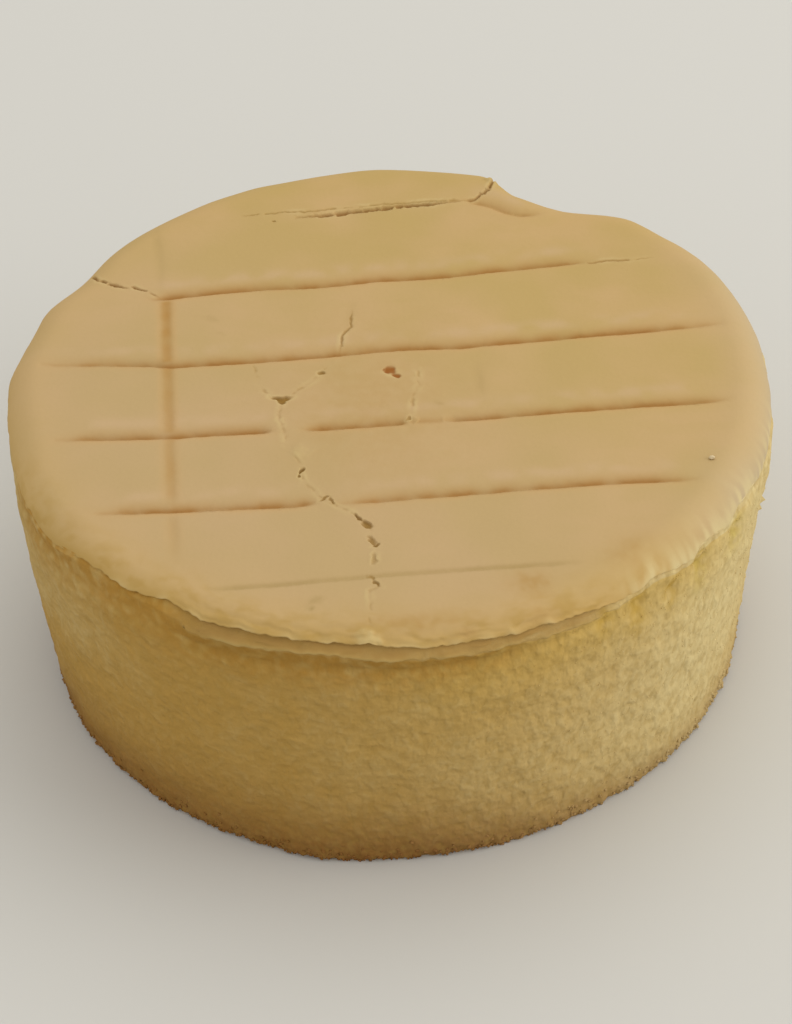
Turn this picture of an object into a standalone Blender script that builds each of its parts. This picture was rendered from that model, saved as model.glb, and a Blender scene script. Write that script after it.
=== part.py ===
"""Round sponge cake with a browned, grooved and cracked top, made as one solid.

The front of the cake is at -Y, its base lies on Z = 0 and Z points up.  Sizes
are millimetres and become metres when the mesh is written.  Angles are degrees
round the cake, from +X towards +Y, so the front is at 270.
"""

import math
from dataclasses import dataclass

import bpy
import numpy as np
from mathutils import Vector, noise
from mathutils.geometry import delaunay_2d_cdt

MM = 0.001

# Body: a short drum that narrows a little towards its base.
TOP_RADIUS = 86.0
TOP_HEIGHT = 71.1
RIM_ROUND = 7.7
SHOULDER_RADIUS = 86.1
BASE_RADIUS = 79.8
BASE_EDGE_ROUND = 0.9

# How far the rim and the foot stray from true circles: (angle, spread, growth).
RIM_WANDER = (
    (22, 18, 1.5),
    (33, 8, 0.7),
    (37, 5, -0.7),
    (48, 4, -0.6),
    (58, 6, -1.6),
    (76, 6, -0.35),
    (91, 8, 0.6),
    (110, 4, 0.45),
    (118, 9, 0.5),
    (131, 7, 0.45),
    (146.5, 6, -1.6),
    (155, 3, 0.5),
    (161, 3, -0.3),
    (171, 3.5, 0.65),
    (188, 9, -1.3),
    (345, 14, 0.4),
)
FOOT_WANDER = ((256, 10, 1.3), (303, 10, -0.6))

# Pressed-in stretch of the rim at the back right.
DENT_START = 43.0
DENT_END = 72.0
DENT_FLANK_SLOW = 12.0
DENT_FLANK_STEEP = 8.0
DENT_DEPTH = 5.5

# The browned skin stops at an angle down the rounded rim: (angle round, angle down).
SKIN_END = (
    (0, 86),
    (190, 76),
    (200, 66),
    (211, 66),
    (224, 56),
    (250, 50.5),
    (262, 51.5),
    (270, 55),
    (280, 61),
    (296, 64),
    (307, 68),
    (316, 82),
    (340, 92),
)
SKIN_THICK = 0.9
SKIN_THIN = 0.3
SKIN_RAG = 4.0
SKIN_RAG_SIZE = 7.0
SKIN_RAG_SEED = 3.0

# Stretches round the cake: (start, stop, fade), in degrees.
SKIN_THICK_SPAN = (196, 312, 24)
LEDGE_SPAN = (232, 306, 8)
UNDERCUT_SPAN = (200, 300, 30)
LEFT_SWELL_SPAN = (165, 215, 30)
TORN_BAND_SPAN = (325, 375, 20)

# A pale torn ledge of the layer below shows in front, and the side is drawn in under it.
LEDGE_DOWN = 82.0
LEDGE_WAVE = 3.0
LEDGE_WAVE_SIZE = 14.0
LEDGE_WAVE_SEED = 8.0
LIP_DOWN = 7.0
LIP_INSET = 0.1
UNDERCUT_FRONT = 1.5
UNDERCUT_BACK = 0.5
UNDERCUT_FADE = 4.5
UNDERCUT_BELOW = 0.5
NOTCH_UNDER_SHOULDER = 0.9
NOTCH_UNDER_LIP = 1.1

# Rings below the skin: (share of the way to the lip, degrees further down, share of the step).
LEDGE_RINGS = ((0.0, 3.5, 0.35), (0.0, 4.1, 1.0), (0.5, 1.75, 0.8))

# Side: it swells on the left, and a torn band stands proud high on the right.
LEFT_SWELL = 0.8
TORN_BAND_STEP = 0.7
TORN_BAND_FOOT = 51.0
TORN_BAND_RISE = 4.0
CRUMB_COARSE = 0.45
CRUMB_COARSE_SIZE = 9.0
CRUMB_FINE = 0.3
CRUMB_FINE_SIZE = 4.0
CRUMB_FINE_SHIFT = Vector((9, 9, 9))
CRUMB_FOOT_FADE = 6.0

# Small hollows just under the skin at the front right: (angle, height, width, depth).
SIDE_HOLLOWS = (
    (300.5, 63.0, 2.2, 0.8),
    (306.6, 61.0, 3.0, 1.4),
    (313.7, 59.5, 2.4, 1.1),
    (319.8, 60.5, 2.6, 1.3),
    (329.5, 60.0, 2.4, 1.1),
)

# Spacing of the mesh: steps along the cuts, and the least gaps between points.
AROUND = 168
SIDE_LEVELS = (59.8, 56.5, 51.5, 46, 40, 34, 28, 22, 16, 10.5, 5.5, 2.4)
LEVEL_UNDER_NOTCH = 1.2
LEVEL_SQUEEZE = 0.8
FOOT_TUCK = 0.15
MERGE_GAP = 1e-4
MEASURE_STEP = 2.0
CUT_END_SHARE = 0.25
GROOVE_STEP = 3.8
CRACK_STEP = 2.4
PIT_SIDES = 6
NEAREST_APART = 0.62
SPINE_GAP = 0.9
SPINE_CLEAR = 1.0
ROW_GAP = 0.85
ROW_CLEAR = 1.2
RING_GAP = 2.2
FIELD_SPACING = 6.0
FIELD_GAP = 2.8
FIELD_CLEAR = 2.5

# Rings of points on the rounded rim: (angle down it, every how many-th angle round).
RIM_RINGS = ((30, 2), (4, 2), (-24, 3))
RIM_RING_CLEAR = 12.0


@dataclass(frozen=True)
class Cut:
    """A groove or crack along a line in plan, with soft or torn walls."""

    line: tuple
    depth: float
    half_width: float
    fade: float


# Grooves that the rack's bars pressed across the top, from back to front.
RACK_GROOVES = (
    Cut(
        line=((-53, 34.7), (-36, 36.2), (-14, 36.5), (12, 37.4), (28, 39.0), (49, 40.4)),
        depth=1.5,
        half_width=1.25,
        fade=4.0,
    ),
    Cut(
        line=((-77, 12.4), (-53.5, 10.3), (-41, 9.5), (-28, 9.7), (4, 11.4), (22, 11.3), (54, 13.2), (77, 14)),
        depth=1.4,
        half_width=1.2,
        fade=18.0,
    ),
    Cut(
        line=((-73, -15.1), (-49, -15.7), (-22, -15.8), (12, -14.9), (38, -14.2), (75, -13.3)),
        depth=1.3,
        half_width=1.2,
        fade=8.0,
    ),
    Cut(line=((-63.5, -40.6), (-34.5, -40.6), (-16, -40.8)), depth=1.3, half_width=1.2, fade=6.0),
    Cut(
        line=((-11, -41.4), (8, -40.3), (39, -39.6), (50, -39.0), (66, -39.4)),
        depth=1.3,
        half_width=1.2,
        fade=9.0,
    ),
    Cut(
        line=((-40, -67), (-20, -66.5), (9, -65.1), (39, -64.9)),
        depth=0.5,
        half_width=1.3,
        fade=12.0,
    ),
)

# Broad shallow folds: the rack's cross bar, and the valley beside the dent.
SOFT_FOLDS = (
    Cut(
        line=((-49.4, 33.8), (-48.7, 9.3), (-48.0, -15.6), (-47.1, -41), (-46.3, -57)),
        depth=0.55,
        half_width=2.2,
        fade=8.0,
    ),
    Cut(
        line=((24.1, 65.9), (30.8, 61.6), (34, 59.9), (39, 59.7)),
        depth=1.0,
        half_width=2.4,
        fade=4.0,
    ),
)

# Torn cracks in the skin, with sharp corners.
CRACKS = (
    Cut(
        line=((-19.1, 63.7), (-6, 64.4), (6, 65.8), (21, 66.9)),
        depth=1.7,
        half_width=1.0,
        fade=8.0,
    ),
    Cut(line=((21, 66.9), (25.7, 69.1), (29.3, 76.7)), depth=1.0, half_width=0.8, fade=2.0),
    Cut(
        line=((-68.2, 47.5), (-65, 43.1), (-58.4, 39.3), (-53.7, 37.9), (-51.2, 35.4)),
        depth=1.3,
        half_width=0.8,
        fade=2.0,
    ),
    Cut(line=((49, 40.4), (54, 40.1), (64.2, 40.2)), depth=0.7, half_width=0.8, fade=6.0),
    Cut(
        line=((-6.5, 26.7), (-7, 20), (-9, 16.8), (-9.6, 13.5), (-9.7, 11.1)),
        depth=0.9,
        half_width=0.75,
        fade=3.0,
    ),
    Cut(line=((-10.4, 9.1), (-13.9, 3.6), (-18, -1.4), (-22.9, -4.6)), depth=1.0, half_width=0.75, fade=2.0),
    Cut(line=((-29.6, 8.2), (-27.8, 0.8), (-24.7, -4.8)), depth=0.8, half_width=0.75, fade=2.0),
    Cut(
        line=(
            (-23.4, -4.8),
            (-23.7, -12.3),
            (-22.5, -19.3),
            (-18.9, -27.8),
            (-18.3, -33.6),
            (-14.7, -39.6),
            (-10.5, -42.6),
            (-7.2, -47.8),
            (-5.2, -52.5),
            (-4.3, -60),
            (-5.3, -67),
            (-5.9, -76.1),
            (-4.9, -84.0),
        ),
        depth=1.1,
        half_width=0.8,
        fade=3.0,
    ),
    Cut(line=((6.9, 6.5), (7.7, -2.9), (6, -10.6), (5.2, -15.1)), depth=0.7, half_width=0.75, fade=3.0),
)

# Torn pits in the skin: (x, y, radius, depth).
PITS = (
    (1.6, 3.0, 1.9, 0.7),
    (-23.6, -4.5, 1.8, 1.4),
    (-14.3, 2.9, 1.2, 0.9),
    (-19.1, -30.2, 1.2, 1.1),
    (-13.7, -40.4, 1.3, 1.2),
    (-6.3, -48.2, 1.5, 1.2),
    (-4.2, -55.8, 1.2, 1.1),
    (-5.2, -66.9, 1.2, 1.1),
)

# Raised spots: (x, y, radius, height).
BUMPS = ((-19.2, -23.7, 2.0, 0.45), (-6.5, -84.6, 3.0, 0.9))

CRUST_COLOUR = (0.60, 0.40, 0.17)


def ease(value):
    """Soft step from 0 to 1."""
    t = min(1.0, max(0.0, value))
    return t * t * (3 - 2 * t)


def turn_gap(angle, centre):
    """Signed gap between two angles, in degrees from -180 to 180."""
    return (angle - centre + 180) % 360 - 180


def wander(angle, table):
    """Sum of the soft swells in the table at this angle."""
    return sum(growth * math.exp(-((turn_gap(angle, at) / spread) ** 2)) for at, spread, growth in table)


def between(angle, start, stop, fade):
    """1 between two angles, easing to 0 outside them."""
    middle = (start + stop) / 2
    reach = (stop - start) / 2
    return ease((reach + fade / 2 - abs(turn_gap(angle, middle))) / fade)


def around(angle, stations):
    """Value between the stations round the cake, eased from one to the next."""
    angle %= 360
    ring = list(stations) + [(stations[0][0] + 360, stations[0][1])]
    for (a0, v0), (a1, v1) in zip(ring, ring[1:]):
        if a0 <= angle <= a1:
            return v0 + (v1 - v0) * ease((angle - a0) / (a1 - a0))
    return ring[0][1]


def ragged(angle, size, seed):
    """Uneven wave round the cake from -1 to 1, one lump about every size degrees."""
    turn = math.radians(angle)
    reach = 360 / size / (2 * math.pi)
    return 2 * noise.noise(Vector((reach * math.cos(turn), reach * math.sin(turn), seed)))


def dent(angle):
    """How far the rim is pressed in at this angle."""
    steep = ease((DENT_END - angle) / DENT_FLANK_STEEP)
    slow = ease((angle - DENT_START) / DENT_FLANK_SLOW)
    return DENT_DEPTH * steep * slow


def rim_radius(angle):
    """Widest radius of the rounded rim at this angle."""
    return TOP_RADIUS + wander(angle, RIM_WANDER) - dent(angle % 360)


def skin_end(angle):
    """Angle down the rounded rim at which the browned skin stops."""
    return around(angle, SKIN_END) + SKIN_RAG * ragged(angle, SKIN_RAG_SIZE, SKIN_RAG_SEED)


def ledge_end(angle):
    """Angle down the rounded rim at which the layer below the skin stops."""
    ledge = between(angle, *LEDGE_SPAN)
    wide = LEDGE_DOWN + LEDGE_WAVE * ragged(angle, LEDGE_WAVE_SIZE, LEDGE_WAVE_SEED)
    narrow = skin_end(angle) + LIP_DOWN
    return max(narrow + (wide - narrow) * ledge, narrow)


def skin_step(angle):
    """Depth of the step from the skin to the layer below it."""
    return SKIN_THIN + (SKIN_THICK - SKIN_THIN) * between(angle, *SKIN_THICK_SPAN)


def rim_point(angle, down, inset):
    """Point on the rounded rim, the given angle down it and inset from its surface."""
    turn, fall = math.radians(angle), math.radians(down)
    radius = rim_radius(angle) - RIM_ROUND + (RIM_ROUND - inset) * math.sin(fall)
    height = TOP_HEIGHT - RIM_ROUND + (RIM_ROUND - inset) * math.cos(fall)
    return Vector((radius * math.cos(turn), radius * math.sin(turn), height))


def crumb_relief(angle, height):
    """Low unevenness of the bare side."""
    turn = math.radians(angle)
    at = Vector((SHOULDER_RADIUS * math.cos(turn), SHOULDER_RADIUS * math.sin(turn), height))
    coarse = CRUMB_COARSE * noise.noise(at / CRUMB_COARSE_SIZE)
    return coarse + CRUMB_FINE * noise.noise(at / CRUMB_FINE_SIZE + CRUMB_FINE_SHIFT)


def side_hollow(angle, height):
    """Depth of the small hollows just under the skin."""
    depth = 0.0
    for at, level, width, deep in SIDE_HOLLOWS:
        across = math.radians(turn_gap(angle, at)) * SHOULDER_RADIUS
        depth += deep * math.exp(-(across**2 + (height - level) ** 2) / width**2)
    return depth


def side_radius(angle, height):
    """Radius of the bare side at this angle and height."""
    share = height / (TOP_HEIGHT - RIM_ROUND)
    foot = BASE_RADIUS + wander(angle, FOOT_WANDER)
    shoulder = rim_radius(angle) + SHOULDER_RADIUS - TOP_RADIUS
    radius = foot + (shoulder - foot) * share
    radius += LEFT_SWELL * math.sin(math.pi * share) * between(angle, *LEFT_SWELL_SPAN)
    band = ease((height - TORN_BAND_FOOT) / TORN_BAND_RISE + 0.5) * between(angle, *TORN_BAND_SPAN)
    radius += TORN_BAND_STEP * band
    crumb = crumb_relief(angle, height) * min(1.0, height / CRUMB_FOOT_FADE)
    return radius + crumb - side_hollow(angle, height)


def undercut(angle):
    """How far the side is drawn in right under the skin's lip."""
    return UNDERCUT_BACK + (UNDERCUT_FRONT - UNDERCUT_BACK) * between(angle, *UNDERCUT_SPAN)


def curve(line, step, rounded):
    """Points about one step apart along a line, with its corners rounded or kept."""
    ends = [np.array(p, float) for p in line]
    held = [2 * ends[0] - ends[1]] + ends + [2 * ends[-1] - ends[-2]]
    points = [ends[0]]
    for a, b, c, d in zip(held, held[1:], held[2:], held[3:]):
        pieces = max(1, round(float(np.linalg.norm(c - b)) / step))
        for k in range(1, pieces + 1):
            t = k / pieces
            bent = 0.5 * (
                2 * b + (c - a) * t + (2 * a - 5 * b + 4 * c - d) * t**2 + (3 * b - a - 3 * c + d) * t**3
            )
            points.append(bent if rounded else b + (c - b) * t)
    return np.array(points)


def cut_depth(points, cut):
    """Depth of one groove or crack at each point in plan."""
    line = curve(cut.line, MEASURE_STEP, cut not in CRACKS)
    start, end = line[:-1], line[1:]
    way = end - start
    length = np.linalg.norm(way, axis=1)
    before = np.concatenate([[0], np.cumsum(length)])
    to = points[:, None, :] - start[None]
    share = np.clip((to * way[None]).sum(-1) / (length**2)[None], 0, 1)
    gap = np.linalg.norm(to - share[..., None] * way[None], axis=-1)
    nearest = gap.argmin(axis=1)
    rows = np.arange(len(points))
    along = before[nearest] + share[rows, nearest] * length[nearest]
    ends = np.minimum(along, before[-1] - along)
    fade = np.clip(CUT_END_SHARE + (1 - CUT_END_SHARE) * ends / cut.fade, 0, 1)
    return cut.depth * fade * np.exp(-((gap[rows, nearest] / cut.half_width) ** 2))


def top_relief(points):
    """Height of the browned top above or below its smooth form at points in plan."""
    depth = np.zeros(len(points))
    for cut in RACK_GROOVES + SOFT_FOLDS + CRACKS:
        depth = np.maximum(depth, cut_depth(points, cut))
    for x, y, radius, deep in PITS:
        gap = np.hypot(points[:, 0] - x, points[:, 1] - y)
        depth = np.maximum(depth, deep * np.exp(-((gap / radius) ** 4)))
    height = -depth
    for x, y, radius, high in BUMPS:
        gap = np.hypot(points[:, 0] - x, points[:, 1] - y)
        height += high * np.exp(-((gap / radius) ** 2))
    return height


class PlanPoints:
    """Points of the unrolled top, none closer together than the given gap."""

    def __init__(self, apart):
        self.apart = apart
        self.places = []
        self.cells = {}

    def near(self, place, gap):
        """Index of a point within the gap of this place, or None."""
        reach = int(math.ceil(gap / self.apart))
        column, row = (int(math.floor(v / self.apart)) for v in place)
        for i in range(column - reach, column + reach + 1):
            for j in range(row - reach, row + reach + 1):
                for index in self.cells.get((i, j), ()):
                    if math.dist(self.places[index], place) < gap:
                        return index
        return None

    def add(self, place, gap=None):
        """Index of the new point, or of the one already standing within the gap."""
        found = self.near(place, gap or self.apart)
        if found is not None:
            return found
        self.places.append((float(place[0]), float(place[1])))
        cell = tuple(int(math.floor(v / self.apart)) for v in place)
        self.cells.setdefault(cell, []).append(len(self.places) - 1)
        return len(self.places) - 1


def unrolled_radius(angle, down):
    """Distance from the middle, measured over the rounding, to an angle down the rim."""
    return rim_radius(angle) - RIM_ROUND + RIM_ROUND * math.radians(down)


def folded(place, lift):
    """Point in space of a point of the unrolled top, lifted off the smooth form."""
    turn = math.atan2(place[1], place[0])
    angle = math.degrees(turn) % 360
    reach = math.hypot(*place)
    flat = rim_radius(angle) - RIM_ROUND
    down = max(0.0, (reach - flat) / RIM_ROUND)
    radius = min(reach, flat) + (RIM_ROUND + lift) * math.sin(down)
    height = TOP_HEIGHT - RIM_ROUND + (RIM_ROUND + lift) * math.cos(down)
    return Vector((radius * math.cos(turn), radius * math.sin(turn), height))


def on_skin(place, margin):
    """True if a place of the unrolled top is on the skin, clear of its end by the margin."""
    angle = math.degrees(math.atan2(place[1], place[0])) % 360
    return math.hypot(*place) < unrolled_radius(angle, skin_end(angle)) - margin


def around_middle(angle, reach):
    """Place at this angle and distance from the middle."""
    turn = math.radians(angle)
    return (reach * math.cos(turn), reach * math.sin(turn))


def add_cuts(plan, cuts, step, rows, rounded):
    """Put a spine of points along each cut and rows beside it; return the spines' edges."""
    edges = []
    lines = [[p for p in curve(cut.line, step, rounded) if on_skin(p, SPINE_CLEAR)] for cut in cuts]
    for line in lines:
        spine = [plan.add(p, SPINE_GAP) for p in line]
        edges += [(a, b) for a, b in zip(spine, spine[1:]) if a != b]
    for cut, line in zip(cuts, lines):
        for k, place in enumerate(line):
            way = line[min(k + 1, len(line) - 1)] - line[max(k - 1, 0)]
            normal = np.array((-way[1], way[0])) / np.linalg.norm(way)
            for share in rows:
                for side in (-1, 1):
                    beside = place + side * share * cut.half_width * normal
                    if on_skin(beside, ROW_CLEAR):
                        plan.add(beside, ROW_GAP)
    return edges


def plan_of_top():
    """Places, guide edges and border of the unrolled top's mesh."""
    plan = PlanPoints(NEAREST_APART)
    angles = [360 * k / AROUND for k in range(AROUND)]
    border = [plan.add(around_middle(a, unrolled_radius(a, skin_end(a)))) for a in angles]
    edges = list(zip(border, border[1:] + border[:1]))
    for x, y, radius, _ in PITS:
        plan.add((x, y))
        for k in range(PIT_SIDES):
            east, north = around_middle(360 * k / PIT_SIDES, radius)
            plan.add((x + east, y + north))
    edges += add_cuts(plan, CRACKS, CRACK_STEP, (1.4,), False)
    edges += add_cuts(plan, RACK_GROOVES, GROOVE_STEP, (1, 1.9), True)
    edges += add_cuts(plan, SOFT_FOLDS, GROOVE_STEP, (1.4,), True)
    for down, each in RIM_RINGS:
        for angle in angles[::each]:
            if down < skin_end(angle) - RIM_RING_CLEAR:
                plan.add(around_middle(angle + 180 / AROUND, unrolled_radius(angle, down)), RING_GAP)
    row_gap = FIELD_SPACING * math.sqrt(3) / 2
    rows = math.ceil(TOP_RADIUS / row_gap)
    for row in range(-rows, rows + 1):
        for column in range(-rows, rows + 1):
            place = ((column + 0.5 * (row % 2)) * FIELD_SPACING, row * row_gap)
            if math.hypot(*place) < TOP_RADIUS - RIM_ROUND - FIELD_CLEAR:
                plan.add(place, FIELD_GAP)
    return plan.places, edges, border


def encloses(outline, place):
    """True if the closed outline goes round this place."""
    inside = False
    for a, b in zip(outline, outline[1:] + outline[:1]):
        if (a.y > place.y) != (b.y > place.y):
            if place.x < a.x + (b.x - a.x) * (place.y - a.y) / (b.y - a.y):
                inside = not inside
    return inside


def is_outside(face, places, rim):
    """True for a face between border points that fills a bay outside the border."""
    if not set(rim).issuperset(face):
        return False
    middle = sum((places[k] for k in face), Vector((0, 0))) / len(face)
    return not encloses([places[k] for k in rim], middle)


def build_cake():
    """Vertices and faces of the whole cake."""
    places, edges, border = plan_of_top()
    flat = [Vector(p) for p in places]
    places, _, faces, sources, _, _ = delaunay_2d_cdt(flat, edges, [], 0, MERGE_GAP, True)
    index_of = {old: new for new, olds in enumerate(sources) for old in olds}
    lift = top_relief(np.array([tuple(p) for p in places]))
    rim = [index_of[k] for k in border]
    lift[rim] = np.maximum(lift[rim], -SKIN_THIN)
    vertices = [folded(p, h) for p, h in zip(places, lift)]
    faces = [tuple(face) for face in faces if not is_outside(face, places, rim)]
    angles = [360 * k / AROUND for k in range(AROUND)]
    rings = [rim]
    for ring in side_rings(angles):
        start = len(vertices)
        vertices += ring
        rings.append(list(range(start, start + AROUND)))
    for upper, lower in zip(rings, rings[1:]):
        for k in range(AROUND):
            j = (k + 1) % AROUND
            faces.append((upper[k], lower[k], lower[j], upper[j]))
    faces.append(tuple(reversed(rings[-1])))
    return vertices, faces


def side_rings(angles):
    """Rings of points from just under the skin's edge down to the base."""
    columns = []
    for angle in angles:
        skin, ledge, step = skin_end(angle), ledge_end(angle), skin_step(angle)
        turn = math.radians(angle)
        out = Vector((math.cos(turn), math.sin(turn), 0))
        column = [
            rim_point(angle, skin + (ledge - skin) * share + further, step * inset)
            for share, further, inset in LEDGE_RINGS
        ]
        column.append(rim_point(angle, ledge, LIP_INSET))
        lip = column[-1].z
        notch = min(TOP_HEIGHT - RIM_ROUND - NOTCH_UNDER_SHOULDER, lip - NOTCH_UNDER_LIP)
        column.append(out * (side_radius(angle, notch) - undercut(angle)) + Vector((0, 0, notch)))
        for level in SIDE_LEVELS:
            drawn = UNDERCUT_BELOW * undercut(angle) * math.exp(-(((notch - level) / UNDERCUT_FADE) ** 2))
            squeezed = notch - LEVEL_UNDER_NOTCH - (SIDE_LEVELS[0] - level) * LEVEL_SQUEEZE
            height = min(level, squeezed)
            column.append(out * (side_radius(angle, height) - drawn) + Vector((0, 0, height)))
        foot = side_radius(angle, 0)
        column.append(out * (foot - FOOT_TUCK) + Vector((0, 0, BASE_EDGE_ROUND)))
        column.append(out * (foot - BASE_EDGE_ROUND))
        columns.append(column)
    return [list(ring) for ring in zip(*columns)]


def centred(vertices):
    """The vertices moved so that the middle of their bounding box is over the origin."""
    middle_x = (min(v.x for v in vertices) + max(v.x for v in vertices)) / 2
    middle_y = (min(v.y for v in vertices) + max(v.y for v in vertices)) / 2
    lowest = min(v.z for v in vertices)
    print(f"moved by {-middle_x:.4f} {-middle_y:.4f} {-lowest:.4f} mm")
    return [v - Vector((middle_x, middle_y, lowest)) for v in vertices]


def crust_material():
    """Matt browned skin over pale sponge."""
    material = bpy.data.materials.new("baked_sponge")
    material.use_nodes = True
    shader = material.node_tree.nodes["Principled BSDF"]
    shader.inputs["Base Color"].default_value = (*CRUST_COLOUR, 1)
    shader.inputs["Roughness"].default_value = 0.8
    shader.inputs["Metallic"].default_value = 0.0
    return material


def main():
    """Clear the scene and put the cake in it."""
    for thing in list(bpy.data.objects):
        bpy.data.objects.remove(thing)
    vertices, faces = build_cake()
    mesh = bpy.data.meshes.new("sponge_cake")
    mesh.from_pydata([v * MM for v in centred(vertices)], [], faces)
    mesh.validate()
    cake = bpy.data.objects.new("sponge_cake", mesh)
    bpy.context.collection.objects.link(cake)
    mesh.materials.append(crust_material())
    mesh.polygons.foreach_set("use_smooth", [True] * len(mesh.polygons))


main()
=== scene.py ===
"""Looks of a round sponge cake: browned skin on top, torn at its edge, over a bare crumb side.

Sizes are millimetres in the form's own place, with its base on Z = 0 and its front at -Y, and
become metres, moved over the origin, when a mesh is written.  Angles are degrees round the cake
from +X towards +Y, so the front is at 270.  An angle down the rim is 0 on the flat top and 90
where the rounding meets the side.  Marks on the skin are placed on the unrolled top, where the
distance from the middle is measured over the rounding.
"""

import logging
import math
from collections.abc import Sequence
from dataclasses import dataclass
from enum import Enum

import bmesh
import bpy
import numpy as np
from mathutils import Matrix, Vector, noise


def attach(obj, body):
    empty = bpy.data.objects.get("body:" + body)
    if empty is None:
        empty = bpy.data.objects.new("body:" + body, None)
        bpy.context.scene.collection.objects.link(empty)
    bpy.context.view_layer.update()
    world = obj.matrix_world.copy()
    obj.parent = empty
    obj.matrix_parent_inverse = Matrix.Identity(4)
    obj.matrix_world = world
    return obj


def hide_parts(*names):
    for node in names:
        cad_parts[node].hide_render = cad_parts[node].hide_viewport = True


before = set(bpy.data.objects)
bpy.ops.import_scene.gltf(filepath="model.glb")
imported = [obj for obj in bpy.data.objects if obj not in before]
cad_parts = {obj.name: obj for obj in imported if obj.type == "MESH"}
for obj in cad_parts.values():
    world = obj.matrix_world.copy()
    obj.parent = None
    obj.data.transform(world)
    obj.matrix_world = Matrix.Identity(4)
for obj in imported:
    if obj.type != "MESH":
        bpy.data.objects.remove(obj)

log = logging.getLogger("sponge_cake")

MM = 0.001
CENTRING = np.array((-0.6807, -0.3302, 0.0))
BODY = "root"
NODE = "sponge_cake"

Stations = Sequence[tuple[float, float]]
Colour = tuple[float, float, float]
Span = tuple[float, float, float]


def lumps(points: np.ndarray, size: float, seed: float) -> np.ndarray:
    """Smooth noise at each point.

    Args:
        points: Places in millimetres, one row each.
        size: Width of one lump in millimetres.
        seed: Number that picks the pattern.

    Returns:
        One value from about -1 to 1 for each point.
    """
    places = points / size + np.array((seed, 1.7 * seed, -2.3 * seed))
    return np.array([noise.noise(Vector(p)) for p in places.tolist()]) * 1.6


def ease(value: np.ndarray) -> np.ndarray:
    """Soft step from 0 to 1."""
    t = np.clip(value, 0.0, 1.0)
    return t * t * (3 - 2 * t)


def bell(value: np.ndarray, width: float, power: float = 2.0) -> np.ndarray:
    """Bell curve that is 1 at zero and about 0.37 at the width, flatter with a higher power."""
    return np.exp(-(np.abs(value / width) ** power))


def turn_gap(angle: np.ndarray, centre: float) -> np.ndarray:
    """Signed gap between angles and a centre, in degrees from -180 to 180."""
    return (angle - centre + 180) % 360 - 180


def swells(angle: np.ndarray, table: Sequence[tuple[float, float, float]]) -> np.ndarray:
    """Sum of the soft swells (angle, spread, growth) of a table at each angle."""
    return sum(growth * bell(turn_gap(angle, at), spread) for at, spread, growth in table)


def between(angle: np.ndarray, start: float, stop: float, fade: float) -> np.ndarray:
    """1 between two angles, easing to 0 outside them."""
    gap = np.abs(turn_gap(angle, (start + stop) / 2))
    return ease(((stop - start) / 2 + fade / 2 - gap) / fade)


def polar(angle: np.ndarray, reach: np.ndarray, height: np.ndarray) -> np.ndarray:
    """Points in space at these angles, distances from the axis and heights."""
    turn = np.radians(angle)
    return np.stack([reach * np.cos(turn), reach * np.sin(turn), height + 0 * turn], -1)


def belt(upper: np.ndarray, lower: np.ndarray) -> list[tuple]:
    """Outward faces between two closed rings of vertex numbers that run anticlockwise."""
    ahead, below = np.roll(upper, -1), np.roll(lower, -1)
    return [tuple(f) for f in np.stack([upper, lower, below, ahead], -1).tolist()]


def mesh_piece(
    name: str,
    points: np.ndarray,
    faces: Sequence[Sequence[int]],
    masks: dict[str, np.ndarray],
    finish: bpy.types.Material,
) -> bpy.types.Object:
    """Put a smooth shaded mesh in the scene.

    Args:
        name: Name of the piece.
        points: Its vertices in millimetres, in the form's own place.
        faces: Its faces, pointing outwards.
        masks: Values from 0 to 1 for each vertex, by name.
        finish: Its material.

    Returns:
        The new object, at the origin.
    """
    mesh = bpy.data.meshes.new(name)
    mesh.from_pydata(((points + CENTRING) * MM).tolist(), [], [tuple(f) for f in faces])
    mesh.validate()
    for mask, values in masks.items():
        layer = mesh.attributes.new(mask, "FLOAT", "POINT")
        layer.data.foreach_set("value", values.astype(np.float32))
    mesh.polygons.foreach_set("use_smooth", [True] * len(mesh.polygons))
    mesh.materials.append(finish)
    piece = bpy.data.objects.new(name, mesh)
    bpy.context.collection.objects.link(piece)
    return piece


def mount(piece: bpy.types.Object) -> None:
    """Tie a finished piece to the cake's body and report it."""
    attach(piece, BODY)
    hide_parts(NODE)
    piece.data.calc_loop_triangles()
    log.info("%s: %d triangles", piece.name, len(piece.data.loop_triangles))


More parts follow.
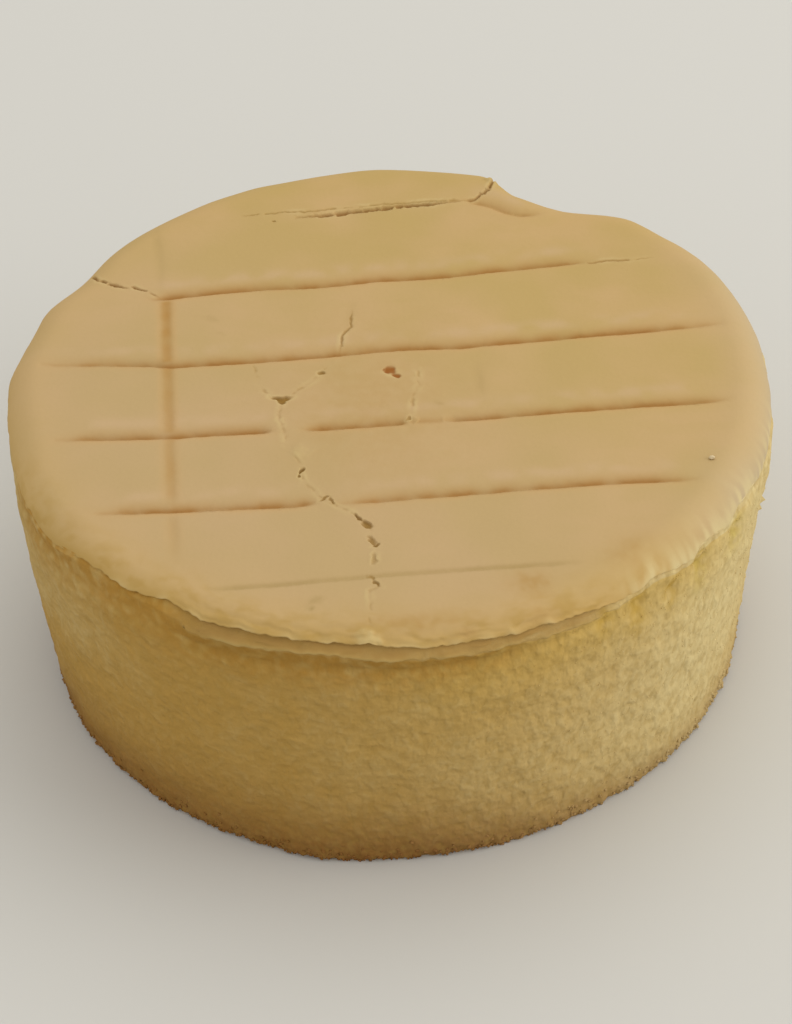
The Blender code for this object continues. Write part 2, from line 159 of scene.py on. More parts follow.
@dataclass(frozen=True)
class CakeForm:
    """Smooth form of the cake that all its pieces share."""

    top_radius: float = 86.0
    top_height: float = 71.1
    rim_round: float = 7.7
    shoulder_radius: float = 86.1
    base_radius: float = 79.8
    base_edge: float = 0.9
    rim_wander: tuple = (
        (22, 18, 1.5), (33, 8, 0.7), (37, 5, -0.7), (48, 4, -0.6), (58, 6, -1.6), (76, 6, -0.35),
        (91, 8, 0.6), (110, 4, 0.45), (118, 9, 0.5), (131, 7, 0.45), (146.5, 6, -1.6),
        (155, 3, 0.5), (161, 3, -0.3), (171, 3.5, 0.65), (188, 9, -1.3), (345, 14, 0.4),
    )
    foot_wander: tuple = ((256, 10, 1.3), (303, 10, -0.6))
    dent_start: float = 43.0
    dent_end: float = 72.0
    dent_slow: float = 12.0
    dent_steep: float = 8.0
    dent_depth: float = 5.5
    skin_edge: Stations = (
        (0, 88), (8, 82), (20, 86), (31, 79), (40, 84), (52, 80), (60, 86), (74, 78), (88, 82),
        (100, 79), (113, 84), (126, 77), (140, 82), (152, 76), (163, 79), (175, 77), (190, 73),
        (199.5, 65.6), (210, 67.3), (215.6, 56), (222, 47), (225, 49), (228.5, 52), (231, 46),
        (233.5, 39), (237, 42), (241, 49), (244, 48), (247, 47), (256, 48), (262, 47.5), (266, 49),
        (270, 54.5), (273, 58), (278.6, 59), (281.5, 59), (286, 60), (290.5, 61), (296.5, 64.8),
        (301, 68), (306.8, 72.1),
        (309, 65), (311.8, 69.3), (314.8, 79), (318, 86), (319.5, 76.3), (323.4, 79.9),
        (326.2, 91), (328.5, 86.6), (330.7, 78.9), (335.4, 88.6), (339.5, 98), (342, 97), (350, 91),
    )
    ledge_edge: Stations = (
        (226, 56), (232, 57), (237.5, 62), (238.8, 72.4), (241.3, 77.8), (244.4, 72.5),
        (250.4, 72.5), (253.3, 69), (256.2, 68), (259, 67), (261.8, 68), (264.6, 73),
        (267.3, 75), (270, 77), (278, 79.5), (281.2, 83.5), (284, 79), (287, 79), (290, 82),
        (296, 82.5), (299.5, 80.4), (303, 80), (308, 76), (312, 72),
    )
    thick_edge: float = 1.0
    ledge_least: float = 6.0
    ledge_rag: float = 2.4
    rag: float = 2.2
    rag_size: float = 2.6
    left_swell: float = 0.8
    torn_band: float = 0.7
    torn_band_foot: float = 51.0
    hollows: tuple = (
        (300.5, 63.0, 2.2, 0.8), (306.6, 61.0, 3.0, 1.4), (313.7, 59.5, 2.4, 1.1),
        (319.8, 60.5, 2.6, 1.3), (329.5, 60.0, 2.4, 1.1),
    )
    proud_crumbs: tuple = ((347.2, 46.2, 0.8, 1.5), (347.2, 43.6, 0.6, 1.1), (338.0, 30.5, 0.7, 0.9))
    front_span: Span = (237.0, 300.0, 10.0)
    thick_edge_span: Span = (218.0, 300.0, 10.0)
    skin_least: float = 0.12
    skin_thicker: float = 0.24
    thicker_span: Span = (237.0, 302.0, 10.0)
    skin_thinner: float = 0.05
    thinner_span: Span = (306.0, 352.0, 8.0)
    undercut_least: float = 0.3
    undercut_more: float = 0.8
    undercut_span: Span = (198.0, 300.0, 26.0)
    notch_under_shoulder: float = 0.9
    notch_under_lip: float = 1.1
    left_swell_span: Span = (165.0, 215.0, 30.0)
    torn_band_rise: float = 4.0
    torn_band_span: Span = (325.0, 375.0, 20.0)

    def rim(self, angle: np.ndarray) -> np.ndarray:
        """Widest radius of the rounded rim at each angle."""
        steep = ease((self.dent_end - angle) / self.dent_steep)
        slow = ease((angle - self.dent_start) / self.dent_slow)
        return self.top_radius + swells(angle, self.rim_wander) - self.dent_depth * steep * slow

    def skin_end(self, angle: np.ndarray) -> np.ndarray:
        """Angle down the rim at which the browned skin is torn off.

        The stations mark the lower corner of the edge, which hangs lower where the skin is thick.
        """
        fine = self.rag * self.uneven(angle, self.rag_size, 3.0)
        fine += 0.6 * self.rag * self.uneven(angle, self.rag_size / 3, 5.0)
        fine -= self.thick_edge * between(angle, *self.thick_edge_span)
        return np.interp(angle, *np.array(self.skin_edge).T, period=360) + fine

    def ledge_end(self, angle: np.ndarray) -> np.ndarray:
        """Angle down the rim at which the pale layer under the skin ends."""
        stations = np.array(self.ledge_edge).T
        ledge = np.interp(angle, *stations) + self.ledge_rag * self.uneven(angle, 1.3, 7.0)
        ledge -= self.thick_edge
        inside = between(angle, stations[0, 0] + 4, stations[0, -1] - 3, 8)
        least = self.skin_end(angle) + self.ledge_least
        return np.maximum(least + (ledge - least) * inside, least)

    def uneven(self, angle: np.ndarray, size: float, seed: float) -> np.ndarray:
        """Wave round the cake from -1 to 1, one lump about every size degrees."""
        return lumps(polar(angle, 180 / math.pi, np.zeros_like(angle)), size, seed)

    def front(self, angle: np.ndarray) -> np.ndarray:
        """1 along the front, where a ledge shows under the torn skin."""
        return between(angle, *self.front_span)

    def skin_thickness(self, angle: np.ndarray) -> np.ndarray:
        """Depth of the step from the skin to the layer below it."""
        thick = self.skin_least + self.skin_thicker * between(angle, *self.thicker_span)
        return thick - self.skin_thinner * between(angle, *self.thinner_span)

    def undercut(self, angle: np.ndarray) -> np.ndarray:
        """How far the side is drawn in right under the ledge."""
        return self.undercut_least + self.undercut_more * between(angle, *self.undercut_span)

    def notch(self, lip: np.ndarray) -> np.ndarray:
        """Height where the side starts, drawn in under a lip at this height."""
        highest = self.top_height - self.rim_round - self.notch_under_shoulder
        return np.minimum(highest, lip - self.notch_under_lip)

    def side(self, angle: np.ndarray, height: np.ndarray) -> np.ndarray:
        """Radius of the bare side, without its crumb, at each angle and height."""
        share = height / (self.top_height - self.rim_round)
        foot = self.base_radius + swells(angle, self.foot_wander)
        shoulder = self.rim(angle) + self.shoulder_radius - self.top_radius
        radius = foot + (shoulder - foot) * share
        radius += self.left_swell * np.sin(math.pi * share) * between(angle, *self.left_swell_span)
        above = height - self.torn_band_foot + self.torn_band_rise / 2
        band = ease(above / self.torn_band_rise) * between(angle, *self.torn_band_span)
        radius += self.torn_band * band
        for at, level, width, depth in self.hollows:
            radius -= depth * bell(self.from_spot(angle, height, at, level), width)
        for at, level, width, growth in self.proud_crumbs:
            radius += growth * bell(self.from_spot(angle, height, at, level), width)
        return radius

    def from_spot(self, angle: np.ndarray, height: np.ndarray, at: float, level: float) -> np.ndarray:
        """Distance on the side from a spot at an angle and level."""
        return np.hypot(np.radians(turn_gap(angle, at)) * self.shoulder_radius, height - level)

    def on_rim(self, angle: np.ndarray, down: np.ndarray, inset: np.ndarray) -> tuple:
        """Radius and height on the rounded rim, the given angle down it and inset from it."""
        fall = np.radians(np.minimum(down, 90))
        past = self.rim_round * np.radians(np.maximum(down - 90, 0))
        radius = self.rim(angle) - self.rim_round + (self.rim_round - inset) * np.sin(fall)
        height = self.top_height - self.rim_round + (self.rim_round - inset) * np.cos(fall) - past
        return radius, height

    def reach(self, angle: np.ndarray, down: np.ndarray) -> np.ndarray:
        """Distance from the middle, over the rounding, to an angle down the rim."""
        return self.rim(angle) - self.rim_round + self.rim_round * np.radians(down)

    def fold(self, angle: np.ndarray, reach: np.ndarray, lift: np.ndarray) -> np.ndarray:
        """Points in space of places on the unrolled top.

        Args:
            angle: Angle round the cake of each place.
            reach: Distance of each place from the middle, measured over the rounding.
            lift: Height of each place off the smooth form.

        Returns:
            One point for each place.
        """
        flat = self.rim(angle) - self.rim_round
        fall = np.clip((reach - flat) / self.rim_round, 0, math.pi / 2)
        past = np.maximum(reach - flat - self.rim_round * math.pi / 2, 0)
        radius = np.minimum(reach, flat) + (self.rim_round + lift) * np.sin(fall)
        height = self.top_height - self.rim_round + (self.rim_round + lift) * np.cos(fall) - past
        return polar(angle, radius, height)


class Relief:
    """Heights and tints gathered over places on the unrolled top."""

    TINTS = (
        "groove", "far_wall_tone_and_shade", "painted_highlight", "rosy", "bar", "tear_tone_and_shade", "split", "frayed_and_highlit", "burnt", "stain", "dull",
        "scab",
    )

    def __init__(self, places: np.ndarray, puff: float) -> None:
        """Start with softly puffed skin that has no marks yet.

        Args:
            places: Places on the unrolled top.
            puff: Height of the broad unevenness in millimetres.
        """
        self.places = places
        self.flat = np.column_stack([places, np.zeros(len(places))])
        self.lift = puff * lumps(self.flat, 26, 1.0) + 0.4 * puff * lumps(self.flat, 9, 2.0)
        self.depth = np.zeros(len(places))
        self.tints = {name: np.zeros(len(places)) for name in self.TINTS}
        jag = np.stack([lumps(self.flat, 1.3, 3.0), lumps(self.flat, 1.3, 4.0)], -1) * 0.22
        jag += np.stack([lumps(self.flat, 4.0, 5.0), lumps(self.flat, 4.0, 6.0)], -1) * 0.25
        self.torn = places + jag
        self.wavy = places + 0.35 * jag
        self.patchy = lumps(self.flat, 4.5, 21.0)
        self.dashes = lumps(self.flat, 1.7, 22.0)

    def press(self, depth: np.ndarray) -> None:
        """Sink the skin to a depth, where it isn't deeper already."""
        self.depth = np.maximum(self.depth, depth)

    def tint(self, name: str, amount: np.ndarray) -> None:
        """Strengthen a tint to an amount, where it isn't stronger already."""
        self.tints[name] = np.maximum(self.tints[name], np.clip(amount, 0, 1))

    def height(self) -> np.ndarray:
        """Height off the smooth form at each place."""
        return self.lift - self.depth


class CutKind(Enum):
    """Shapes that a line in the browned skin can have."""

    GROOVE = "pressed in by a bar of the rack"
    BAR = "shallow band stained by a bar that crosses the others"
    CREASE = "soft shallow line"
    CRACK = "torn, broken into short dashes"
    SPLIT = "torn open, brown inside"


@dataclass(frozen=True)
class Cut:
    """A groove, band, crease or crack along a line on the unrolled top."""

    kind: CutKind
    line: tuple
    depth: float
    width: float
    fades: tuple
    dark: float = 1.0
    whole: float = 0.0

    @property
    def margin(self) -> float:
        """How far beside the line the skin needs a fine mesh."""
        return {CutKind.GROOVE: 1.0, CutKind.BAR: 1.2}.get(self.kind, 0.7)

    def stops(self) -> np.ndarray:
        """Points along the line, with its bends rounded unless it is torn."""
        ends = [np.array(p, float) for p in self.line]
        if self.kind in (CutKind.CRACK, CutKind.SPLIT):
            return np.array(ends)
        held = [2 * ends[0] - ends[1]] + ends + [2 * ends[-1] - ends[-2]]
        points = [ends[0]]
        for a, b, c, d in zip(held, held[1:], held[2:], held[3:]):
            for t in (0.25, 0.5, 0.75, 1.0):
                bend = (2 * a - 5 * b + 4 * c - d) * t**2 + (3 * b - a - 3 * c + d) * t**3
                points.append(0.5 * (2 * b + (c - a) * t + bend))
        return np.array(points)

    def measure(self, places: np.ndarray) -> tuple[np.ndarray, np.ndarray]:
        """Find where places lie beside the line.

        Args:
            places: Places on the unrolled top.

        Returns:
            Their gaps from the line, above 0 on its left, and how strong the cut is there.
        """
        stops = self.stops()
        gap = np.full(len(places), np.inf)
        side = np.ones(len(places))
        along = np.zeros(len(places))
        run = 0.0
        for start, end in zip(stops, stops[1:]):
            way = end - start
            length = float(np.hypot(*way))
            to = places - start
            share = np.clip(to @ way / length**2, 0, 1)
            away = np.hypot(*(to - share[:, None] * way).T)
            nearer = away < gap
            gap = np.where(nearer, away, gap)
            side = np.where(nearer, np.sign(way[0] * to[:, 1] - way[1] * to[:, 0]), side)
            along = np.where(nearer, run + share * length, along)
            run += length
        ends = np.minimum(along / self.fades[0], (run - along) / self.fades[1])
        return gap * np.where(side == 0, 1, side), np.clip(0.15 + 0.85 * ends, 0, 1)

    def mark(self, relief: Relief) -> None:
        """Press the cut into the relief and tint it."""
        if self.kind is CutKind.GROOVE:
            self.mark_groove(relief)
        elif self.kind in (CutKind.CRACK, CutKind.SPLIT):
            self.mark_tear(relief)
        else:
            gap, strength = self.measure(relief.wavy)
            relief.press(self.depth * strength * bell(gap, self.width))
            tone = self.dark * strength * bell(gap, self.width, 3)
            if self.kind is CutKind.BAR:
                relief.tint("bar", tone * (0.9 + 0.25 * relief.patchy))
                # Painted highlight along both edges of the bar.
                relief.tint("painted_highlight", 0.8 * self.dark * strength * bell(np.abs(gap) - 1.9, 0.6))
                relief.tints["groove"] *= 1 + 0.3 * tone
            else:
                relief.tint("stain", tone * (0.85 + 0.3 * relief.patchy))

    def mark_groove(self, relief: Relief) -> None:
        """Press a groove with a steep near wall, a soft far wall and a brown bottom, with painted shade on
        the far wall and a painted highlight on the near rim.
        """
        gap, strength = self.measure(relief.wavy)
        tone = self.dark * strength * np.clip(0.8 + 0.5 * relief.patchy, 0.3, 1.0)
        far = gap > 0
        wall = np.where(far, np.clip(1 - gap / 3.2, 0, 1) ** 1.9, np.clip(1 + gap / 1.4, 0, 1) ** 1.2)
        relief.press(self.depth * strength * wall)
        relief.lift += 0.08 * strength * bell(gap + 2.2, 0.9)
        relief.tint("groove", tone * bell(gap, 0.5 + 0.35 * strength))
        # Browner far wall, partly its own tone and partly painted shade.
        relief.tint("far_wall_tone_and_shade", tone * np.where(far, bell(gap, 2.0), bell(gap, 1.1)))
        # Painted highlight along the near rim of the groove.
        relief.tint("painted_highlight", tone * bell(gap + 1.5, 0.8))
        relief.tint("rosy", strength * bell(gap - 4.6, 2.0) * np.clip(0.55 + 0.9 * relief.patchy, 0, 1))

    def mark_tear(self, relief: Relief) -> None:
        """Press a crack with sharp walls, and fray the skin beside it."""
        gap, strength = self.measure(relief.torn)
        broken = ease((relief.dashes + 0.15 + self.whole) / 0.5)
        opened = np.clip(1 - np.abs(gap) / (self.width * (0.4 + 0.6 * strength)), 0, 1)
        relief.press(self.depth * strength * opened**0.8 * broken)
        # A plain crack is dark partly from its own brown and partly from painted shade inside it.
        name = "split" if self.kind is CutKind.SPLIT else "tear_tone_and_shade"
        relief.tint(name, self.dark * strength * opened**0.6 * broken)
        beside = bell(np.abs(gap) - self.width - 0.35, 0.4) * np.clip(0.3 + relief.patchy, 0, 1)
        relief.tint("frayed_and_highlit", 0.7 * strength * beside)
        relief.lift += 0.06 * strength * beside


def groove(line: tuple, depth: float = 1.1, fades: tuple = (24.0, 24.0), dark: float = 1.0) -> Cut:
    """A straight groove that a rack bar pressed in."""
    return Cut(CutKind.GROOVE, line, depth, 1.0, fades, dark)


def bar(line: tuple, dark: float, fades: tuple = (0.8, 0.8)) -> Cut:
    """A stretch of the band that crosses the grooves."""
    return Cut(CutKind.BAR, line, 0.2, 1.35, fades, dark)


def crease(line: tuple, depth: float, dark: float, width: float = 0.7) -> Cut:
    """A soft shallow line."""
    return Cut(CutKind.CREASE, line, depth, width, (6.0, 6.0), dark)


def crack(line: tuple, depth: float, dark: float, width: float = 0.4, whole: float = 0.0) -> Cut:
    """A torn crack in the skin."""
    return Cut(CutKind.CRACK, line, depth, width, (2.5, 2.5), dark, whole)


def split(line: tuple, depth: float, width: float, fade: float = 8.0, dark: float = 1.0) -> Cut:
    """A crack that stands open, brown inside."""
    return Cut(CutKind.SPLIT, line, depth, width, (fade, fade), dark, 0.6)


CUTS = (
    groove(
        (
            (-53, 34.7), (-45, 35.5), (-36, 36.2), (-26, 36.8), (-14, 36.5),
            (0, 37.5), (12, 37.4), (19, 37.9), (28, 39.0), (42, 40.2), (49, 40.4),
        ),
        1.1,
        (4.0, 8.0),
    ),
    groove(
        (
            (-77, 12.4), (-66, 11.4), (-53.5, 10.3), (-48.5, 9.3), (-41, 9.5), (-28, 9.7),
            (-12, 10.4), (4, 11.4), (15, 11.1), (22, 11.3), (36, 12.3), (54, 13.2), (77, 14.0),
        ),
        1.1,
        (20.0, 15.0),
    ),
    groove(((-73, -15.1), (-65, -14.9), (-49, -15.7), (-39, -15.5), (-25.3, -15.8)), 1.1, (9.0, 2.0)),
    groove(((-18.5, -15.8), (-1.5, -15.4), (4.6, -15.2)), 1.1, (4.0, 1.5), 0.95),
    groove(((4.8, -15.2), (13.0, -14.9)), 0.35, (1.0, 1.0), 0.35),
    groove(
        ((12.2, -14.9), (25, -14.6), (38, -14.2), (52, -13.5), (75, -13.3)), 1.1, (3.0, 7.0), 0.95
    ),
    groove(
        ((-63.5, -40.6), (-54, -40.4), (-45, -40.6), (-35, -40.6), (-22, -40.9), (-16, -40.6)),
        1.0,
        (8.0, 3.0),
        0.95,
    ),
    groove(
        ((-11, -41.3), (2, -40.5), (15, -40), (28, -39.6), (39, -39.5), (49.5, -39), (66, -39.4)),
        1.0,
        (9.0, 9.0),
        0.9,
    ),
    crease(((-40, -67), (-20, -66.5), (9, -65.1), (39, -64.9)), 0.35, 0.75),
    bar(((-49.4, 33.8), (-48.8, 10.5)), 1.0),
    bar(((-48.7, 9.0), (-48.1, -14.6)), 0.75),
    bar(((-48.0, -16.5), (-47.2, -39.5)), 0.55, (0.8, 4.0)),
    bar(((-47.1, -42), (-46.3, -57)), 0.3, (3.0, 8.0)),
    crease(((-52.4, 63.5), (-51.2, 50), (-50.8, 38)), 0.12, 0.3, 1.2),
    crease(((-6.4, 30), (-7.9, 18.9)), 0.12, 0.3, 1.2),
    crease(((20.7, 5.3), (21.4, -9.1)), 0.12, 0.3, 1.2),
    groove(
        ((20.9, 67), (24.1, 65.9), (27.4, 64.3), (30.8, 61.6), (34, 59.9), (39, 59.7)), 0.8, (4.0, 4.0), 0.5
    ),
    split(
        ((-19.1, 63.7), (-13, 63.8), (-6, 64.4), (0, 65), (6, 65.8), (15, 66.1), (21, 66.9)),
        1.3,
        0.75,
        9.0,
    ),
    crack(((-32, 65.5), (-18, 65.9), (-3, 66.6), (12, 67.3), (21, 67)), 0.3, 0.6, 0.3, 0.5),
    split(((20.9, 67), (24.2, 67.3), (25.7, 69.1), (27.5, 70.4), (29.3, 76.7)), 0.9, 0.45, 2.0, 0.8),
    split(((-68.2, 47.5), (-65, 43.1), (-61.8, 40.9), (-58.4, 39.3)), 1.0, 0.45, 2.0, 0.9),
    split(((-57.8, 39.9), (-56, 39), (-53.7, 37.9)), 0.7, 0.4, 1.0, 0.9),
    split(((-53.4, 37.3), (-52.4, 36.4), (-51.2, 35.4)), 0.4, 0.35, 1.0, 0.5),
    split(((43.7, 40.4), (49.3, 39.7), (54, 40.1), (59.1, 39.8), (64.2, 40.2)), 0.4, 0.35, 8.0, 0.6),
    crack(
        ((-6.5, 26.7), (-6.6, 23.3), (-7, 20), (-8.1, 18.6), (-9, 16.8), (-9.6, 13.5), (-9.7, 11.1)),
        0.35,
        0.7,
        0.38,
        0.5,
    ),
    crack(
        ((-10.4, 9.1), (-12, 6.3), (-14, 3.1), (-16.2, 0.9), (-18, -1.4), (-20.7, -3.3), (-22.2, -4.9)),
        0.12,
        0.3,
    ),
    crack(((-29.6, 8.2), (-28.3, 4.5), (-27.8, 0.8), (-26.5, -2.5), (-24.9, -4.6)), 0.15, 0.35),
    crack(
        (
            (-23.4, -4.8), (-23.2, -8.8), (-23.7, -12.3), (-22.6, -15.8), (-22.5, -19.3), (-21.8, -22.8),
            (-20.3, -25), (-18.9, -27.8), (-19.1, -30.5), (-18.3, -33.6), (-16.6, -36.5), (-14.7, -39.6),
            (-11.9, -41.8), (-8.2, -45.4), (-6.3, -47.8), (-4.6, -49.8), (-5.5, -52.4), (-3.4, -56.3),
            (-4.1, -62.5), (-5.9, -65.3), (-3.3, -68.8), (-5.5, -70.4), (-5.3, -77.6), (-5.9, -81.5),
        ),
        0.12,
        0.22,
    ),
    crack(((6.7, 6.5), (7.7, 2.1), (7.7, -2.9), (6.2, -6.4), (6, -10.6), (5, -14.7)), 0.12, 0.3, 0.4, -0.1),
    crack(((6.6, 2.2), (7.9, -3.6)), 0.12, 0.35, 0.35, 0.2),
)


class SpotKind(Enum):
    """Kinds of small marks on the browned skin."""

    HOLE = "torn right through the skin"
    BURNT = "dark reddish brown"
    SCAB = "raised pale flake"
    STAIN = "flat olive tint"
    DULL = "flat dull brown tint"


@dataclass(frozen=True)
class Spot:
    """A small torn, burnt, raised or stained mark on the unrolled top."""

    kind: SpotKind
    x: float
    y: float
    across: float
    along: float
    turn: float = 0.0
    depth: float = 0.6
    tone: float = 1.0

    def distance(self, places: np.ndarray) -> np.ndarray:
        """Distance of places from the mark's middle, 1 at its outline."""
        lean = math.radians(self.turn)
        to = places - np.array((self.x, self.y))
        east = (to[:, 0] * math.cos(lean) + to[:, 1] * math.sin(lean)) / self.across
        north = (to[:, 1] * math.cos(lean) - to[:, 0] * math.sin(lean)) / self.along
        return np.hypot(east, north)

    def mark(self, relief: Relief) -> None:
        """Shape and tint the mark."""
        away = self.distance(2 * relief.torn - relief.places)
        if self.kind in (SpotKind.STAIN, SpotKind.DULL):
            name = "stain" if self.kind is SpotKind.STAIN else "dull"
            relief.tint(name, self.tone * bell(away, 1.0) * (0.9 + 0.5 * relief.dashes))
            return
        sharp = bell(away, 1.0, 5)
        if self.kind is SpotKind.SCAB:
            relief.lift += self.depth * bell(away, 1.0, 3)
            relief.tint("scab", self.tone * sharp * (0.8 + 0.4 * relief.dashes))
            return
        relief.press(self.depth * sharp)
        # Holes are dark partly from their own brown and partly from painted shade inside them.
        relief.tint("tear_tone_and_shade" if self.kind is SpotKind.HOLE else "burnt", self.tone * sharp)
        relief.tint("frayed_and_highlit", 0.7 * bell(away - 1.5, 0.4) * np.clip(0.5 + relief.patchy, 0, 1))


SPOTS = (
    Spot(SpotKind.BURNT, 1.7, 3.4, 1.4, 1.5, 0, 0.3),
    Spot(SpotKind.BURNT, 2.9, 1.6, 1.0, 0.8, -35, 0.3),
    Spot(SpotKind.BURNT, 0.3, 3.9, 0.7, 0.5, 0, 0.2, 0.8),
    Spot(SpotKind.HOLE, -23.4, -4.6, 1.9, 0.75, 0, 0.8),
    Spot(SpotKind.HOLE, -23.1, -5.7, 0.8, 0.8, 0, 0.8),
    Spot(SpotKind.HOLE, -14.0, 3.1, 0.9, 0.6, 35, 0.5, 0.85),
    Spot(SpotKind.HOLE, -18.9, -29.9, 0.6, 1.0, -25, 0.7),
    Spot(SpotKind.HOLE, -19.6, -31.6, 0.5, 0.6, 0, 0.5),
    Spot(SpotKind.HOLE, -14.3, -39.5, 1.2, 0.35, 30, 0.4, 0.7),
    Spot(SpotKind.HOLE, -12.4, -40.3, 0.35, 1.4, 20, 0.4, 0.7),
    Spot(SpotKind.HOLE, -7.3, -46.6, 1.6, 0.45, -52, 0.6, 0.8),
    Spot(SpotKind.HOLE, -5.4, -48.8, 1.4, 0.75, -40, 0.7, 0.9),
    Spot(SpotKind.HOLE, -4.6, -54.2, 0.5, 1.6, 25, 0.5, 0.75),
    Spot(SpotKind.HOLE, -3.6, -55.8, 0.8, 0.6, 0, 0.6, 0.9),
    Spot(SpotKind.HOLE, -4.0, -60.3, 0.5, 1.6, 0, 0.3, 0.35),
    Spot(SpotKind.HOLE, -5.2, -66.3, 0.6, 1.0, 30, 0.4, 0.6),
    Spot(SpotKind.HOLE, -4.1, -68.1, 1.1, 0.5, -40, 0.5, 0.75),
    Spot(SpotKind.HOLE, -23.6, 62.9, 0.5, 0.4, 0, 0.3, 0.7),
    Spot(SpotKind.HOLE, 5.1, -14.3, 0.5, 0.6, 0, 0.3, 0.6),
    Spot(SpotKind.SCAB, 6.6, -15.0, 0.6, 1.2, 0, 0.25, 0.3),
    Spot(SpotKind.SCAB, -18.8, -23.4, 1.9, 2.4, 0, 0.25, 0.35),
    Spot(SpotKind.SCAB, -6.2, -83.9, 2.5, 2.4, 0, 0.7),
    Spot(SpotKind.SCAB, 28.4, 74.6, 1.1, 1.6, 30, 0.8, 0.3),
    Spot(SpotKind.STAIN, -16.4, -72.2, 1.5, 0.7, 20),
    Spot(SpotKind.STAIN, -17.5, -74.3, 0.6, 0.8),
    Spot(SpotKind.DULL, -3.0, -8.0, 20.0, 26.0, 0, 0, 0.28),
    Spot(SpotKind.DULL, 28.0, -70.5, 4.5, 3.2, -30, 0, 0.85),
    Spot(SpotKind.DULL, 50.0, -61.5, 5.5, 3.5, 35, 0, 0.5),
    Spot(SpotKind.DULL, 4.0, -80.0, 12.0, 2.2, 0, 0, 0.5),
    Spot(SpotKind.DULL, 14.3, -82.8, 2.6, 1.0, 8, 0, 0.8),
    Spot(SpotKind.DULL, 30.6, -78.8, 3.5, 2.0, 20, 0, 0.6),
    Spot(SpotKind.STAIN, -38.7, 25.7, 1.6, 0.7, -40, 0, 0.5),
    Spot(SpotKind.STAIN, -36.4, 20.2, 1.0, 0.6, -40, 0, 0.5),
    Spot(SpotKind.STAIN, 11.7, -9.3, 0.5, 1.0, 0, 0, 0.8),
)


